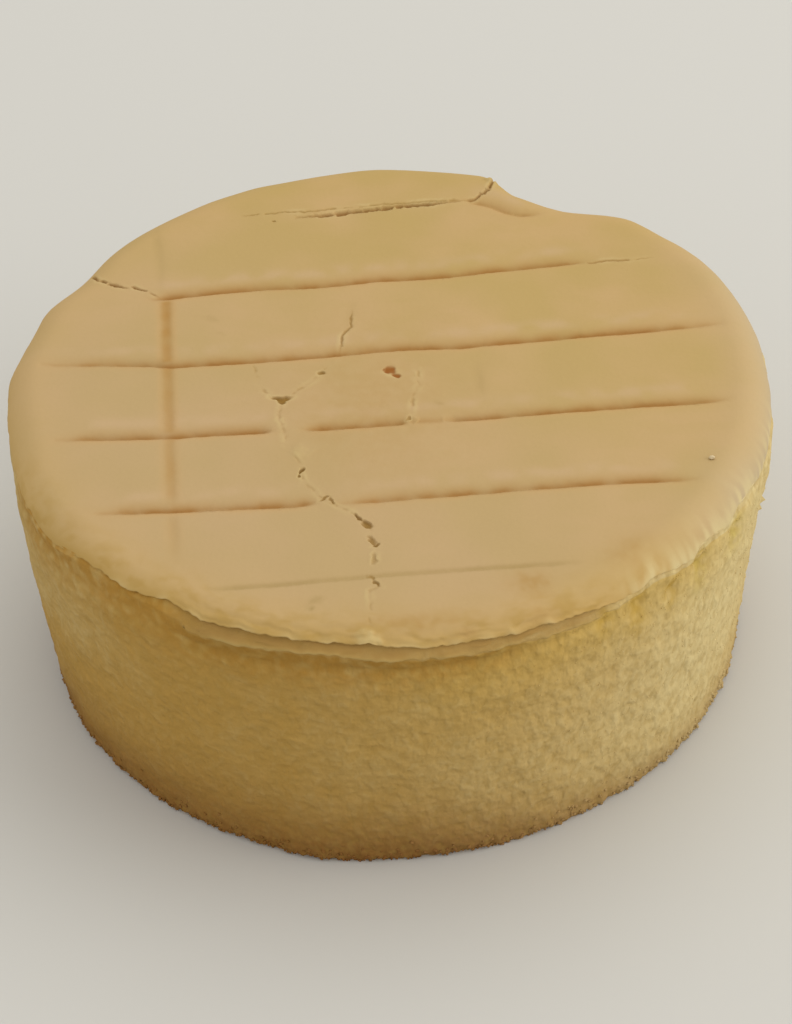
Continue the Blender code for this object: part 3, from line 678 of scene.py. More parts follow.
@dataclass
class BrownedSkin:
    """The browned skin over the top and rim, a closed shell with a torn edge."""

    form: CakeForm
    finish: bpy.types.Material
    name: str = "browned_skin"
    cells: int = 150
    refined: tuple = ((2.4, 3.2, 2.6), (0.9, 1.6, 0.9), (-0.5, 0.8, -1.0))
    sliver: float = 0.02
    puff: float = 0.20
    wrinkle: float = 0.22
    wan_reach: float = 110.0
    curls: tuple = (
        (226.8, 2.2, 0.35), (234.0, 1.0, 0.2), (240.1, 1.6, 0.25), (247.8, 1.8, 0.25), (254.6, 1.7, 0.35),
        (260.0, 1.4, 0.25), (271.6, 3.4, 0.25), (278.1, 1.0, 0.3), (282.6, 1.2, 0.35), (286.2, 1.0, 0.35),
        (291.8, 1.0, 0.3),
    )

    def disc(self) -> tuple[np.ndarray, list]:
        """Round mesh of the unit disc, finer beside the cuts and the edge.

        Returns:
            Its vertices in plan and its triangles.
        """
        steps = np.linspace(-1, 1, self.cells + 1)
        a, b = (v.ravel() for v in np.meshgrid(steps, steps))
        wide = np.abs(a) > np.abs(b)
        reach = np.where(wide, a, b)
        other = np.where(wide, b, a)
        turn = math.pi / 4 * np.divide(other, reach, out=np.zeros_like(reach), where=reach != 0)
        x = np.where(wide, reach * np.cos(turn), reach * np.sin(turn))
        y = np.where(wide, reach * np.sin(turn), reach * np.cos(turn))
        bm = bmesh.new()
        corners = [bm.verts.new((px, py, 0)) for px, py in zip(x, y)]
        row = self.cells + 1
        for j in range(self.cells):
            for i in range(self.cells):
                k = j * row + i
                bm.faces.new((corners[k], corners[k + 1], corners[k + row + 1], corners[k + row]))
        for beside, around, margin in self.refined:
            self.refine(bm, beside, around, margin)
        bmesh.ops.triangulate(bm, faces=bm.faces[:])
        for vert in bm.verts:
            if vert.is_boundary:
                vert.co.xy = vert.co.xy.normalized()
        longest = [max(face.edges, key=lambda edge: edge.calc_length()) for face in bm.faces]
        slivers = {
            edge for face, edge in zip(bm.faces, longest)
            if face.calc_area() < self.sliver * edge.calc_length() ** 2
        }
        bmesh.ops.rotate_edges(bm, edges=[edge for edge in bm.edges if edge in slivers])
        bm.verts.index_update()
        places = np.array([v.co.xy for v in bm.verts])
        faces = [tuple(v.index for v in f.verts) for f in bm.faces]
        bm.free()
        return places, faces

    def refine(self, bm: bmesh.types.BMesh, beside: float, around: float, margin: float) -> None:
        """Split the edges that lie near a cut, a mark or the torn edge.

        Args:
            bm: Mesh of the unit disc.
            beside: How near a cut is near, in millimetres.
            around: How near a mark is near, in millimetres past its outline.
            margin: How near the torn edge is near, in millimetres.
        """
        edges = bm.edges[:]
        middles = np.array([(e.verts[0].co.xy + e.verts[1].co.xy) / 2 for e in edges])
        angle, reach, end = self.spread(middles)
        places = polar(angle, reach, reach)[:, :2]
        near = reach > end - margin * (1 + 1.5 * self.form.front(angle))
        for cut in CUTS:
            near |= np.abs(cut.measure(places)[0]) < beside * cut.margin
        for spot in SPOTS:
            if spot.kind not in (SpotKind.STAIN, SpotKind.DULL):
                near |= np.hypot(places[:, 0] - spot.x, places[:, 1] - spot.y) < around + spot.across / 2
        chosen = [edge for edge, fine in zip(edges, near) if fine]
        bmesh.ops.subdivide_edges(bm, edges=chosen, cuts=1, use_grid_fill=True)

    def spread(self, places: np.ndarray) -> tuple[np.ndarray, np.ndarray, np.ndarray]:
        """Angle, reach on the unrolled top and reach of the torn edge, of places on the disc."""
        angle = np.degrees(np.arctan2(places[:, 1], places[:, 0])) % 360
        ring = np.arange(0, 360, 0.1)
        end = np.interp(angle, ring, self.form.reach(ring, self.form.skin_end(ring)), period=360)
        return angle, np.hypot(places[:, 0], places[:, 1]) * end, end

    def edge_masks(self, angle: np.ndarray, inward: np.ndarray) -> dict[str, np.ndarray]:
        """Tints that follow the torn edge.

        Args:
            angle: Angle round the cake of each place.
            inward: Distance of each place in from the torn edge.

        Returns:
            The masks that the finish reads, by name.
        """
        along = np.stack([np.radians(angle) * self.form.top_radius, 2.4 * inward, 0 * inward], -1)
        blotch = lumps(along, 5.5, 33.0) + 0.5 * lumps(along, 2.0, 34.0)
        streaks = 0.55 + 1.1 * lumps(along * np.array((1, 0.15, 1)), 1.8, 35.0)
        ochre = np.clip(0.35 + blotch, 0, 1) * bell(inward, 6.0) * between(angle, 196, 306, 24)
        rim = (0.45 + 0.35 * between(angle, 205, 268, 24)) * bell(inward, 2.4) * between(angle, 205, 298, 16)
        return {
            "edge": bell(inward, 6.0, 1),
            "ochre": np.maximum(ochre, rim),
            "pale": between(angle, 322, 390, 30) * bell(inward, 9.0, 1.5),
            "bare": between(angle, 306, 352, 10) * bell(inward, 3.6, 1.6) * np.clip(streaks, 0, 1),
        }

    def build(self) -> bpy.types.Object:
        """Make the skin and return its piece."""
        form = self.form
        disc, faces = self.disc()
        angle, reach, end = self.spread(disc)
        relief = Relief(polar(angle, reach, reach)[:, :2], self.puff)
        for mark in (*CUTS, *SPOTS):
            mark.mark(relief)
        inward = end - reach
        lift = relief.height()
        lift = np.where(inward < 3, np.maximum(lift, -0.35), lift)
        front = form.front(angle)
        along = np.stack([np.radians(angle) * form.top_radius / 5, inward, 0 * inward], -1)
        lift += self.wrinkle * front * lumps(along, 0.9, 31.0) * bell(inward, 5.0)
        curled = 0.2 * front * bell(inward, 1.0, 1)
        lift += curled + 0.12 * form.uneven(angle, 2.5, 9.0) * bell(inward, 2.0, 1)
        # Curls: lifted bits of the torn edge, tinted pale as a painted highlight.
        for at, spread, rise in self.curls:
            curl = bell(turn_gap(angle, at), spread) * bell(inward, 1.0, 1.4)
            lift += rise * curl
            relief.tint("frayed_and_highlit", 0.7 * curl)
        wan = ease(0.5 - relief.places @ np.array((0.6, 0.8)) / self.wan_reach)
        masks = {**relief.tints, **self.edge_masks(angle, inward), "wan": wan}
        points = form.fold(angle, reach, lift)
        ring = np.nonzero(np.hypot(*disc.T) > 1 - 1e-6)[0]
        ring = ring[np.argsort(angle[ring])]
        rings = [ring]
        thick = form.skin_thickness(angle[ring])
        drops = ((-0.05, 0.4 * thick), (0.1, thick), (2.5, lift[ring] + 0.9), (10.0, lift[ring] + 3.5))
        for inset, drop in drops:
            under = form.fold(angle[ring], end[ring] - inset, lift[ring] - drop)
            rings.append(np.arange(len(points), len(points) + len(ring)))
            points = np.concatenate([points, under])
            masks = {k: np.concatenate([v, v[ring]]) for k, v in masks.items()}
        for upper, lower in zip(rings, rings[1:]):
            faces += belt(upper, lower)
        points = np.concatenate([points, [(0, 0, form.top_height - 4)]])
        masks = {k: np.append(v, 0.0) for k, v in masks.items()}
        last, centre = rings[-1], len(points) - 1
        faces += [(int(b), int(a), centre) for a, b in zip(last, np.roll(last, -1))]
        return mesh_piece(self.name, points, faces, masks, self.finish)


@dataclass
class SpongeSide:
    """The bare crumb below the skin: ledge, side, foot and flat base, closed under the skin."""

    form: CakeForm
    finish: bpy.types.Material
    name: str = "sponge_side"
    around: int = 900
    side_rings: int = 88
    ledge_rings: int = 8

    def rows(self, angle: np.ndarray) -> list[tuple]:
        """Rings of the smooth side from under the skin down to the base.

        Args:
            angle: Angle of each column of points.

        Returns:
            Radius, height, share of crumb and share of the ledge for each ring.
        """
        form = self.form
        skin, ledge = form.skin_end(angle), form.ledge_end(angle)
        step = form.skin_thickness(angle)
        gap = 0.04 * form.front(angle)
        zero = np.zeros_like(angle)
        rows = [
            (*form.on_rim(angle, skin - 22, 2.2 + zero), zero, zero),
            (*form.on_rim(angle, skin - 3, step + gap), zero, zero),
        ]
        for k in range(self.ledge_rings):
            share = k / (self.ledge_rings - 1)
            bulge = 0.25 * share**3 * form.front(angle)
            inset = step * (1 - share) ** 0.7 + gap * (1 - share) + 0.15 - bulge
            down = skin + 0.5 + (ledge - skin - 0.5) * share
            rows.append((*form.on_rim(angle, down, inset), 0.3 + 0.3 * share + zero, share + zero))
        lip_radius, lip = rows[-1][0], rows[-1][1]
        notch = form.notch(lip)
        drawn = form.undercut(angle)
        notch_radius = form.side(angle, notch) - drawn
        rows.append((lip_radius - 0.35 * (lip_radius - notch_radius), lip - 0.35, 0.5 + zero, 0.5 + zero))
        for share in (0.2, 0.4, 0.6, 0.8):
            radius = lip_radius + (0.35 + 0.5 * share) * (notch_radius - lip_radius)
            rows.append((radius, lip - 0.35 + share * (notch + 0.65 - lip), 0.8 + zero, zero))
        rows.append((notch_radius + 0.15 * (lip_radius - notch_radius), notch + 0.3, 0.8 + zero, zero))
        rows.append((notch_radius, notch, 1 + zero, zero))
        for k in range(1, self.side_rings + 1):
            height = notch + (form.base_edge - notch) * k / self.side_rings
            fallen = notch - height
            tuck = drawn * 0.5 * (bell(fallen, 4.5) + bell(fallen, 1.2))
            rows.append((form.side(angle, height) - tuck, height, 1 + zero, zero))
        foot = form.side(angle, zero)
        rows.append((foot - 0.5, 0.25 + zero, 1 + zero, zero))
        rows.append((foot - form.base_edge, zero, zero, zero))
        return rows

    def build(self) -> bpy.types.Object:
        """Make the crumb body and return its piece."""
        angle = np.arange(self.around) * 360 / self.around
        rows = self.rows(angle)
        points, masks = self.crumb(angle, rows)
        rings = [np.arange(self.around) + k * self.around for k in range(len(rows))]
        faces: list[tuple] = []
        for upper, lower in zip(rings, rings[1:]):
            faces += belt(upper, lower)
        top, foot_centre = len(points), len(points) + 1
        points = np.concatenate([points, [(0, 0, self.form.top_height - 6), (0, 0, 0)]])
        masks = {k: np.append(v, (0.0, 0.0)) for k, v in masks.items()}
        faces += [(int(a), int(b), top) for a, b in zip(rings[0], np.roll(rings[0], -1))]
        faces += [(int(b), int(a), foot_centre) for a, b in zip(rings[-1], np.roll(rings[-1], -1))]
        return mesh_piece(self.name, points, faces, masks, self.finish)

    def crumb(self, angle: np.ndarray, rows: list) -> tuple:
        """Roughen the smooth rings into crumb.

        Args:
            angle: Angle of each column of points.
            rows: Radius, height, share of crumb and share of the ledge for each ring.

        Returns:
            The points in space and the masks that the finish reads.
        """
        form = self.form
        radius, height, share, lip = (np.concatenate(column) for column in zip(*rows))
        turn = np.tile(angle, len(rows))
        flat = polar(turn, form.shoulder_radius, height)
        coarse = self.coarseness(turn, height)
        soft = 0.35 * lumps(flat, 9, 11.0) + 0.13 * lumps(flat, 4, 12.0)
        upright = flat * np.array((1, 1, 0.5))
        level = flat * np.array((0.45, 0.45, 1.2))
        rise = between(turn, 280, 380, 70)
        fuzz = rise * (0.16 * lumps(upright, 1.7, 13.0) + 0.04 * lumps(upright, 1.1, 14.0))
        fuzz += (1 - rise) * (0.16 * lumps(level, 1.5, 17.0) + 0.14 * lumps(level, 0.9, 18.0))
        fuzz += 0.10 * lumps(flat, 2.4, 15.0)
        foot = ease(height / 2.5)
        rough = soft * foot + fuzz * (0.35 + 0.85 * coarse) * (0.5 + 0.5 * foot)
        rough += 0.5 * lumps(flat, 1.6, 19.0) * bell(height, 3.0)
        upper = [1.0 if k < self.ledge_rings + 3 else 0.0 for k in range(len(rows))]
        ledge_rows = np.repeat(upper, len(angle))
        folds = lumps(flat * np.array((0.25, 0.25, 1.6)), 1.5, 24.0)
        rough += 0.9 * folds * ledge_rows * form.front(turn)
        points = polar(turn, radius + rough * share, height)
        skin_foot = np.tile(form.on_rim(angle, form.skin_end(angle), 0 * angle)[1], len(rows))
        lip_height = form.on_rim(angle, form.ledge_end(angle), 0 * angle)[1]
        start = lip_height + (form.notch(lip_height) - lip_height) * form.front(angle)
        below = np.maximum(np.tile(start, len(rows)) - height, 0)
        clear = 1 - ledge_rows * form.front(turn)
        bare = share > 0
        patch = 0.55 + 0.9 * lumps(flat, 2.0, 23.0)
        masks = {
            # Painted shade where the fuzz sinks the crumb in.
            "pit_shade": np.clip(0.5 - fuzz * 2.0, 0, 1) * share,
            "coarse": coarse * bare * (1 - 0.8 * ledge_rows * form.front(turn)),
            # Painted shadow: a thin dark line right under the lip at the front.
            "gap": between(turn, 238, 290, 10) * bell(below, 1.1) * (1 - ledge_rows),
            # Partly browning, partly painted shade under the overhanging lip.
            "under": self.under_lip_tone_and_shade(turn, below) * np.clip(patch + 0.3, 0, 1) * clear,
            # Painted shade and reflected light mixed with the crumb's own darker straw, strongest at the left
            # front.
            "warm_and_shaded": self.warmth_and_shade(turn, height),
            "straw": between(turn, 272, 330, 24) * bell(below, 13.0, 1.5) * (1 - ledge_rows),
            # Painted shade along the foot, with a little browning.
            "foot": self.foot_shade(turn, height) * bare,
            "grit": bell(height, 3.0) * bare,
            "woolly": between(turn, 300, 385, 50) * np.clip(patch, 0.2, 1) * bare * (1 - ledge_rows),
            # Partly the ledge's own browner tone, partly painted shade from the skin above it.
            "ledge": ledge_rows * form.front(turn) * np.clip(0.85 + 0.4 * folds, 0, 1),
            # Painted highlight along the lower edge of the ledge.
            "lip": lip**6 * form.front(turn) * np.clip(0.7 + 0.6 * folds, 0, 1),
            "tan": between(turn, 306, 352, 10) * bell(skin_foot - height, 1.6) * np.clip(patch, 0, 1),
            # Olive tone at the hollows on the right, partly painted shade in them.
            "hollow_tone_and_shade": self.freshness(turn, height) * np.clip(patch + 0.2, 0, 1) * between(turn, 296, 316, 4),
            "fresh": self.freshness(turn, height) * np.clip(patch + 0.2, 0, 1) * between(turn, 317, 335, 4),
        }
        return points, masks

    def under_lip_tone_and_shade(self, angle: np.ndarray, below: np.ndarray) -> np.ndarray:
        """Band under the ledge, partly browning and partly painted shade under the overhanging lip, broadest
        at the left, where it starts at the skin.
        """
        left = between(angle, 190, 238, 10)
        return between(angle, 196, 286, 20) * bell(below / (4.8 + 4.4 * left), 1.0, 1.8)

    def foot_shade(self, angle: np.ndarray, height: np.ndarray) -> np.ndarray:
        """Darkening at the foot, mostly painted shade with a little browning, broad at the left and in front,
        narrow at the right.
        """
        left = between(angle, 150, 290, 40)
        strength = 0.72 + 0.1 * bell(turn_gap(angle, 265), 18) - 0.2 * bell(turn_gap(angle, 307), 17)
        strength -= 0.36 * between(angle, 320, 385, 20)
        return strength * bell(height / (6.0 + 9.0 * left), 1.0, 1.5)

    def coarseness(self, angle: np.ndarray, height: np.ndarray) -> np.ndarray:
        """How coarse the crumb is, from 0 where the tin pressed it smooth to 1."""
        smooth = 0.75 * between(angle, 150, 250, 60) + 0.25 * between(angle, 325, 380, 30)
        return np.clip(1 - smooth + 0.5 * bell(height, 5.0, 1), 0, 1)

    def warmth_and_shade(self, angle: np.ndarray, height: np.ndarray) -> np.ndarray:
        """How far the crumb leans to its darkest straw, 0 at the right to 1 at the left front: part own tone,
        part painted shade.
        """
        paler = 0.28 * between(angle, 180, 222, 24) * ease((height - 30) / 16)
        paler += 0.27 * between(angle, 312, 345, 34)
        low = 0.10 + 0.06 * between(angle, 292, 380, 20) + 0.17 * between(angle, 322, 380, 20)
        deeper = low * bell(height, 17.0, 1.5) * between(angle, 255, 380, 20)
        deeper += 0.12 * bell(turn_gap(angle, 284), 16) * ease((height - 25) / 20)
        return 0.3 + 0.7 * between(angle, 175, 280, 90) - paler + deeper

    def freshness(self, angle: np.ndarray, height: np.ndarray) -> np.ndarray:
        """Yellow patches at the hollows, drawn out downwards."""
        total = np.zeros_like(height)
        for at, level, width, _ in self.form.hollows:
            across = np.radians(turn_gap(angle, at)) * self.form.shoulder_radius
            fallen = level + 1.5 - height
            long = np.where(fallen > 0, 3.0, 1.1) * width
            total = np.maximum(total, np.exp(-((across / width) ** 2) - (fallen / long) ** 2))
        return total


@dataclass
class LooseCrumb:
    """The one pale crumb that lies on the skin."""

    form: CakeForm
    finish: bpy.types.Material
    x: float = 70.0
    y: float = -33.2
    size: float = 0.65
    name: str = "loose_crumb"

    def build(self) -> bpy.types.Object:
        """Make the crumb and return its piece."""
        angle = np.array([math.degrees(math.atan2(self.y, self.x)) % 360])
        reach = np.array([math.hypot(self.x, self.y)])
        centre = self.form.fold(angle, reach, np.array([0.3 * self.size]))[0]
        bm = bmesh.new()
        bmesh.ops.create_icosphere(bm, subdivisions=3, radius=1.0)
        ball = np.array([v.co for v in bm.verts])
        faces = [tuple(v.index for v in f.verts) for f in bm.faces]
        bm.free()
        knobbly = 1 + 0.35 * lumps(ball, 0.7, 51.0)
        points = centre + ball * knobbly[:, None] * np.array((1.0, 0.7, 0.6)) * self.size
        return mesh_piece(self.name, points, faces, {}, self.finish)


@dataclass
class CrumbCoat:
    """Small round crumbs that stand out of a piece, grown by a node tree."""

    ground: bpy.types.Object
    finish: bpy.types.Material
    name: str
    mask: str
    per_square_metre: float
    smallest: tuple
    largest: tuple
    lean: tuple
    seed: int

    def crumb(self, sheet: "Sheet") -> bpy.types.NodeSocket:
        """One crumb of unit size."""
        return sheet.node("GeometryNodeMeshIcoSphere", {"Radius": 1.0, "Subdivisions": 1}).outputs["Mesh"]

    def tree(self) -> bpy.types.NodeTree:
        """Node tree that scatters crumbs over the mesh it is given."""
        tree = bpy.data.node_groups.new(f"{self.name}_scatter", "GeometryNodeTree")
        sheet = Sheet(tree)
        sheet.socket("Geometry", "NodeSocketGeometry")
        sheet.socket("Density", "NodeSocketFloat")
        sheet.socket("Smallest", "NodeSocketVector")
        sheet.socket("Largest", "NodeSocketVector")
        sheet.socket("Least Lean", "NodeSocketFloat")
        sheet.socket("Most Lean", "NodeSocketFloat")
        sheet.socket("Seed", "NodeSocketInt")
        sheet.socket("Finish", "NodeSocketMaterial")
        sheet.socket("Geometry", "NodeSocketGeometry", "OUTPUT")
        given = sheet.node("NodeGroupInput").outputs
        mask = sheet.node("GeometryNodeInputNamedAttribute", {"Name": self.mask}, data_type="FLOAT")
        density = sheet.math("MULTIPLY", mask.outputs["Attribute"], given["Density"])
        spread = sheet.node(
            "GeometryNodeDistributePointsOnFaces",
            {"Mesh": given["Geometry"], "Density": density, "Seed": given["Seed"]},
            distribute_method="RANDOM",
        )
        least = sheet.node("ShaderNodeCombineXYZ", {"X": given["Least Lean"], "Z": -math.pi})
        most = sheet.node("ShaderNodeCombineXYZ", {"X": given["Most Lean"], "Z": math.pi})
        turn = self.random(sheet, least.outputs[0], most.outputs[0], given["Seed"])
        size = self.random(sheet, given["Smallest"], given["Largest"], given["Seed"])
        turned = sheet.node(
            "FunctionNodeRotateRotation",
            {"Rotation": spread.outputs["Rotation"], "Rotate By": turn},
            rotation_space="LOCAL",
        )
        placed = sheet.node(
            "GeometryNodeInstanceOnPoints",
            {
                "Points": spread.outputs["Points"],
                "Instance": self.crumb(sheet),
                "Rotation": turned.outputs[0],
                "Scale": size,
            },
        )
        real = sheet.node("GeometryNodeRealizeInstances", {"Geometry": placed.outputs[0]})
        dressed = sheet.node(
            "GeometryNodeSetMaterial", {"Geometry": real.outputs[0], "Material": given["Finish"]}
        )
        sheet.node("NodeGroupOutput", {0: dressed.outputs[0]})
        return tree

    @staticmethod
    def random(sheet: "Sheet", low: object, high: object, seed: object) -> bpy.types.NodeSocket:
        """Random vector between two others for each crumb."""
        feeds = {0: low, 1: high, "Seed": seed}
        return sheet.node("FunctionNodeRandomValue", feeds, data_type="FLOAT_VECTOR").outputs[0]

    def build(self) -> bpy.types.Object:
        """Grow the crumbs and return their piece as a plain mesh."""
        grower = bpy.data.objects.new(f"{self.name}_grower", self.ground.data.copy())
        bpy.context.collection.objects.link(grower)
        modifier = grower.modifiers.new("scatter", "NODES")
        modifier.node_group = self.tree()
        values = {
            "Density": self.per_square_metre,
            "Smallest": [v * MM for v in self.smallest],
            "Largest": [v * MM for v in self.largest],
            "Least Lean": math.radians(self.lean[0]),
            "Most Lean": math.radians(self.lean[1]),
            "Seed": self.seed,
            "Finish": self.finish,
        }
        for item in modifier.node_group.interface.items_tree:
            if item.in_out == "INPUT" and item.name in values:
                modifier[item.identifier] = values[item.name]
        grower.update_tag()
        graph = bpy.context.evaluated_depsgraph_get()
        mesh = bpy.data.meshes.new_from_object(grower.evaluated_get(graph))
        bpy.data.objects.remove(grower)
        mesh.name = self.name
        corners = np.zeros(len(mesh.vertices) * 3, np.float32)
        mesh.vertices.foreach_get("co", corners)
        corners = corners.reshape(-1, 3)
        corners[:, 2] = np.maximum(corners[:, 2], 0.0)
        mesh.vertices.foreach_set("co", corners.ravel())
        mesh.polygons.foreach_set("use_smooth", [True] * len(mesh.polygons))
        piece = bpy.data.objects.new(self.name, mesh)
        bpy.context.collection.objects.link(piece)
        return piece


class Sheet:
    """Lays out the nodes of one tree."""

    def __init__(self, tree: bpy.types.NodeTree) -> None:
        """Lay out the nodes of this tree."""
        self.tree = tree

    def socket(self, name: str, kind: str, way: str = "INPUT", value: object = None) -> None:
        """Give the tree a named input or output."""
        made = self.tree.interface.new_socket(name, in_out=way, socket_type=kind)
        if value is not None:
            made.default_value = value

    def node(self, kind: str, feeds: dict | None = None, **settings: object) -> bpy.types.Node:
        """Add a node.

        Args:
            kind: Type of the node.
            feeds: Values or sockets for its inputs, by name or number.
            settings: Its own settings.

        Returns:
            The new node.
        """
        made = self.tree.nodes.new(kind)
        for name, value in settings.items():
            setattr(made, name, value)
        for key, value in (feeds or {}).items():
            if isinstance(value, bpy.types.NodeSocket):
                self.tree.links.new(value, made.inputs[key])
            else:
                made.inputs[key].default_value = value
        return made

    def math(self, operation: str, a: object, b: object = 0.0) -> bpy.types.NodeSocket:
        """Add a math node and return its result."""
        return self.node("ShaderNodeMath", {0: a, 1: b}, operation=operation).outputs[0]

    def mix(self, share: object, first: object, second: object) -> bpy.types.NodeSocket:
        """Blend two colours by a share and return the result."""
        feeds = {0: share, 6: self.opaque(first), 7: self.opaque(second)}
        return self.node("ShaderNodeMix", feeds, data_type="RGBA").outputs[2]

    def mask(self, name: str, gain: float = 1.0) -> bpy.types.NodeSocket:
        """Value of a mesh attribute, times a gain."""
        read = self.node("ShaderNodeAttribute", attribute_name=name).outputs["Fac"]
        return self.math("MULTIPLY", read, gain)

    def tinted(self, colour: object, tints: Sequence[tuple[str, float, Colour]]) -> object:
        """Lay tints over a colour, each (mesh attribute, gain, tint), the last one on top."""
        for name, gain, tint in tints:
            colour = self.mix(self.mask(name, gain), colour, tint)
        return colour

    def remap(
        self, value: object, low: float, high: float, to_low: float = 0.0, to_high: float = 1.0
    ) -> object:
        """Map a value from one range to another, softly and within the limits."""
        feeds = {0: value, 1: low, 2: high, 3: to_low, 4: to_high}
        return self.node("ShaderNodeMapRange", feeds, interpolation_type="SMOOTHSTEP").outputs[0]

    def stretched(self, place: object, x: float, y: float, z: float) -> bpy.types.NodeSocket:
        """Coordinates scaled along each axis."""
        feeds = {0: place, 1: (x, y, z)}
        return self.node("ShaderNodeVectorMath", feeds, operation="MULTIPLY").outputs[0]

    @staticmethod
    def opaque(colour: object) -> object:
        """A colour with its alpha, or the socket itself."""
        return colour if isinstance(colour, bpy.types.NodeSocket) else (*colour, 1.0)


class ShaderEffects:
    """Node groups that several finishes share."""

    def __init__(self) -> None:
        """Make the groups."""
        self.mottle = self.make_mottle()
        self.pores = self.make_pores()

    @staticmethod
    def make_mottle() -> bpy.types.NodeTree:
        """Group that gives a soft uneven value over the surface."""
        tree = bpy.data.node_groups.new("soft_mottle", "ShaderNodeTree")
        sheet = Sheet(tree)
        sheet.socket("Vector", "NodeSocketVector")
        sheet.socket("Lump Size", "NodeSocketFloat", value=0.02)
        sheet.socket("Contrast", "NodeSocketFloat", value=1.0)
        sheet.socket("Value", "NodeSocketFloat", "OUTPUT")
        given = sheet.node("NodeGroupInput").outputs
        scale = sheet.math("DIVIDE", 1.0, given["Lump Size"])
        feeds = {"Vector": given["Vector"], "Scale": scale, "Detail": 1.6, "Roughness": 0.5}
        cloud = sheet.node("ShaderNodeTexNoise", feeds).outputs["Fac"]
        spread = sheet.math("MULTIPLY", sheet.math("SUBTRACT", cloud, 0.5), given["Contrast"])
        value = sheet.math("ADD", sheet.math("MULTIPLY", spread, 2.0), 0.5)
        clamped = sheet.node("ShaderNodeClamp", {0: value}).outputs[0]
        sheet.node("NodeGroupOutput", {0: clamped})
        return tree

    @staticmethod
    def make_pores() -> bpy.types.NodeTree:
        """Group that gives small soft pores: a mask of their insides and a height for bump."""
        tree = bpy.data.node_groups.new("fine_pores", "ShaderNodeTree")
        sheet = Sheet(tree)
        sheet.socket("Vector", "NodeSocketVector")
        sheet.socket("Pore Size", "NodeSocketFloat", value=0.001)
        sheet.socket("Share", "NodeSocketFloat", value=0.4)
        sheet.socket("Mask", "NodeSocketFloat", "OUTPUT")
        sheet.socket("Height", "NodeSocketFloat", "OUTPUT")
        given = sheet.node("NodeGroupInput").outputs
        scale = sheet.math("DIVIDE", 1.0, given["Pore Size"])
        feeds = {"Vector": given["Vector"], "Scale": scale, "Detail": 0.8, "Roughness": 0.5}
        grain = sheet.node("ShaderNodeTexNoise", feeds).outputs["Fac"]
        inside = sheet.math("SUBTRACT", given["Share"], grain)
        mask = sheet.node("ShaderNodeClamp", {0: sheet.math("MULTIPLY", inside, 6.0)}).outputs[0]
        sheet.node("NodeGroupOutput", {0: mask, 1: grain})
        return tree


@dataclass(frozen=True)
class Finish:
    """Start of a matt baked finish."""

    effects: ShaderEffects
    name: str = "baked"
    roughness: float = 0.75
    specular: float = 0.12

    def start(self) -> tuple[bpy.types.Material, Sheet, bpy.types.Node, bpy.types.NodeSocket]:
        """New material with its node sheet, its shader and the object coordinates."""
        material = bpy.data.materials.new(self.name)
        material.use_nodes = True
        sheet = Sheet(material.node_tree)
        shader = material.node_tree.nodes["Principled BSDF"]
        shader.inputs["Roughness"].default_value = self.roughness
        shader.inputs["Specular IOR Level"].default_value = self.specular
        place = sheet.node("ShaderNodeTexCoord").outputs["Object"]
        return material, sheet, shader, place

    def mottled(self, sheet: Sheet, place: object, size: float, contrast: float) -> bpy.types.NodeSocket:
        """Soft uneven value from the shared group."""
        feeds = {"Vector": place, "Lump Size": size, "Contrast": contrast}
        return sheet.node("ShaderNodeGroup", feeds, node_tree=self.effects.mottle).outputs[0]

    def pored(self, sheet: Sheet, place: object, size: float, share: float) -> Sequence[bpy.types.NodeSocket]:
        """Mask and height of small pores from the shared group."""
        feeds = {"Vector": place, "Pore Size": size, "Share": share}
        return sheet.node("ShaderNodeGroup", feeds, node_tree=self.effects.pores).outputs

    @staticmethod
    def bumped(sheet: Sheet, shader: bpy.types.Node, height: object, strength: float, depth: float) -> None:
        """Roughen the shader's normal by a height."""
        bump = sheet.node("ShaderNodeBump", {"Strength": strength, "Distance": depth, "Height": height})
        sheet.tree.links.new(bump.outputs[0], shader.inputs["Normal"])


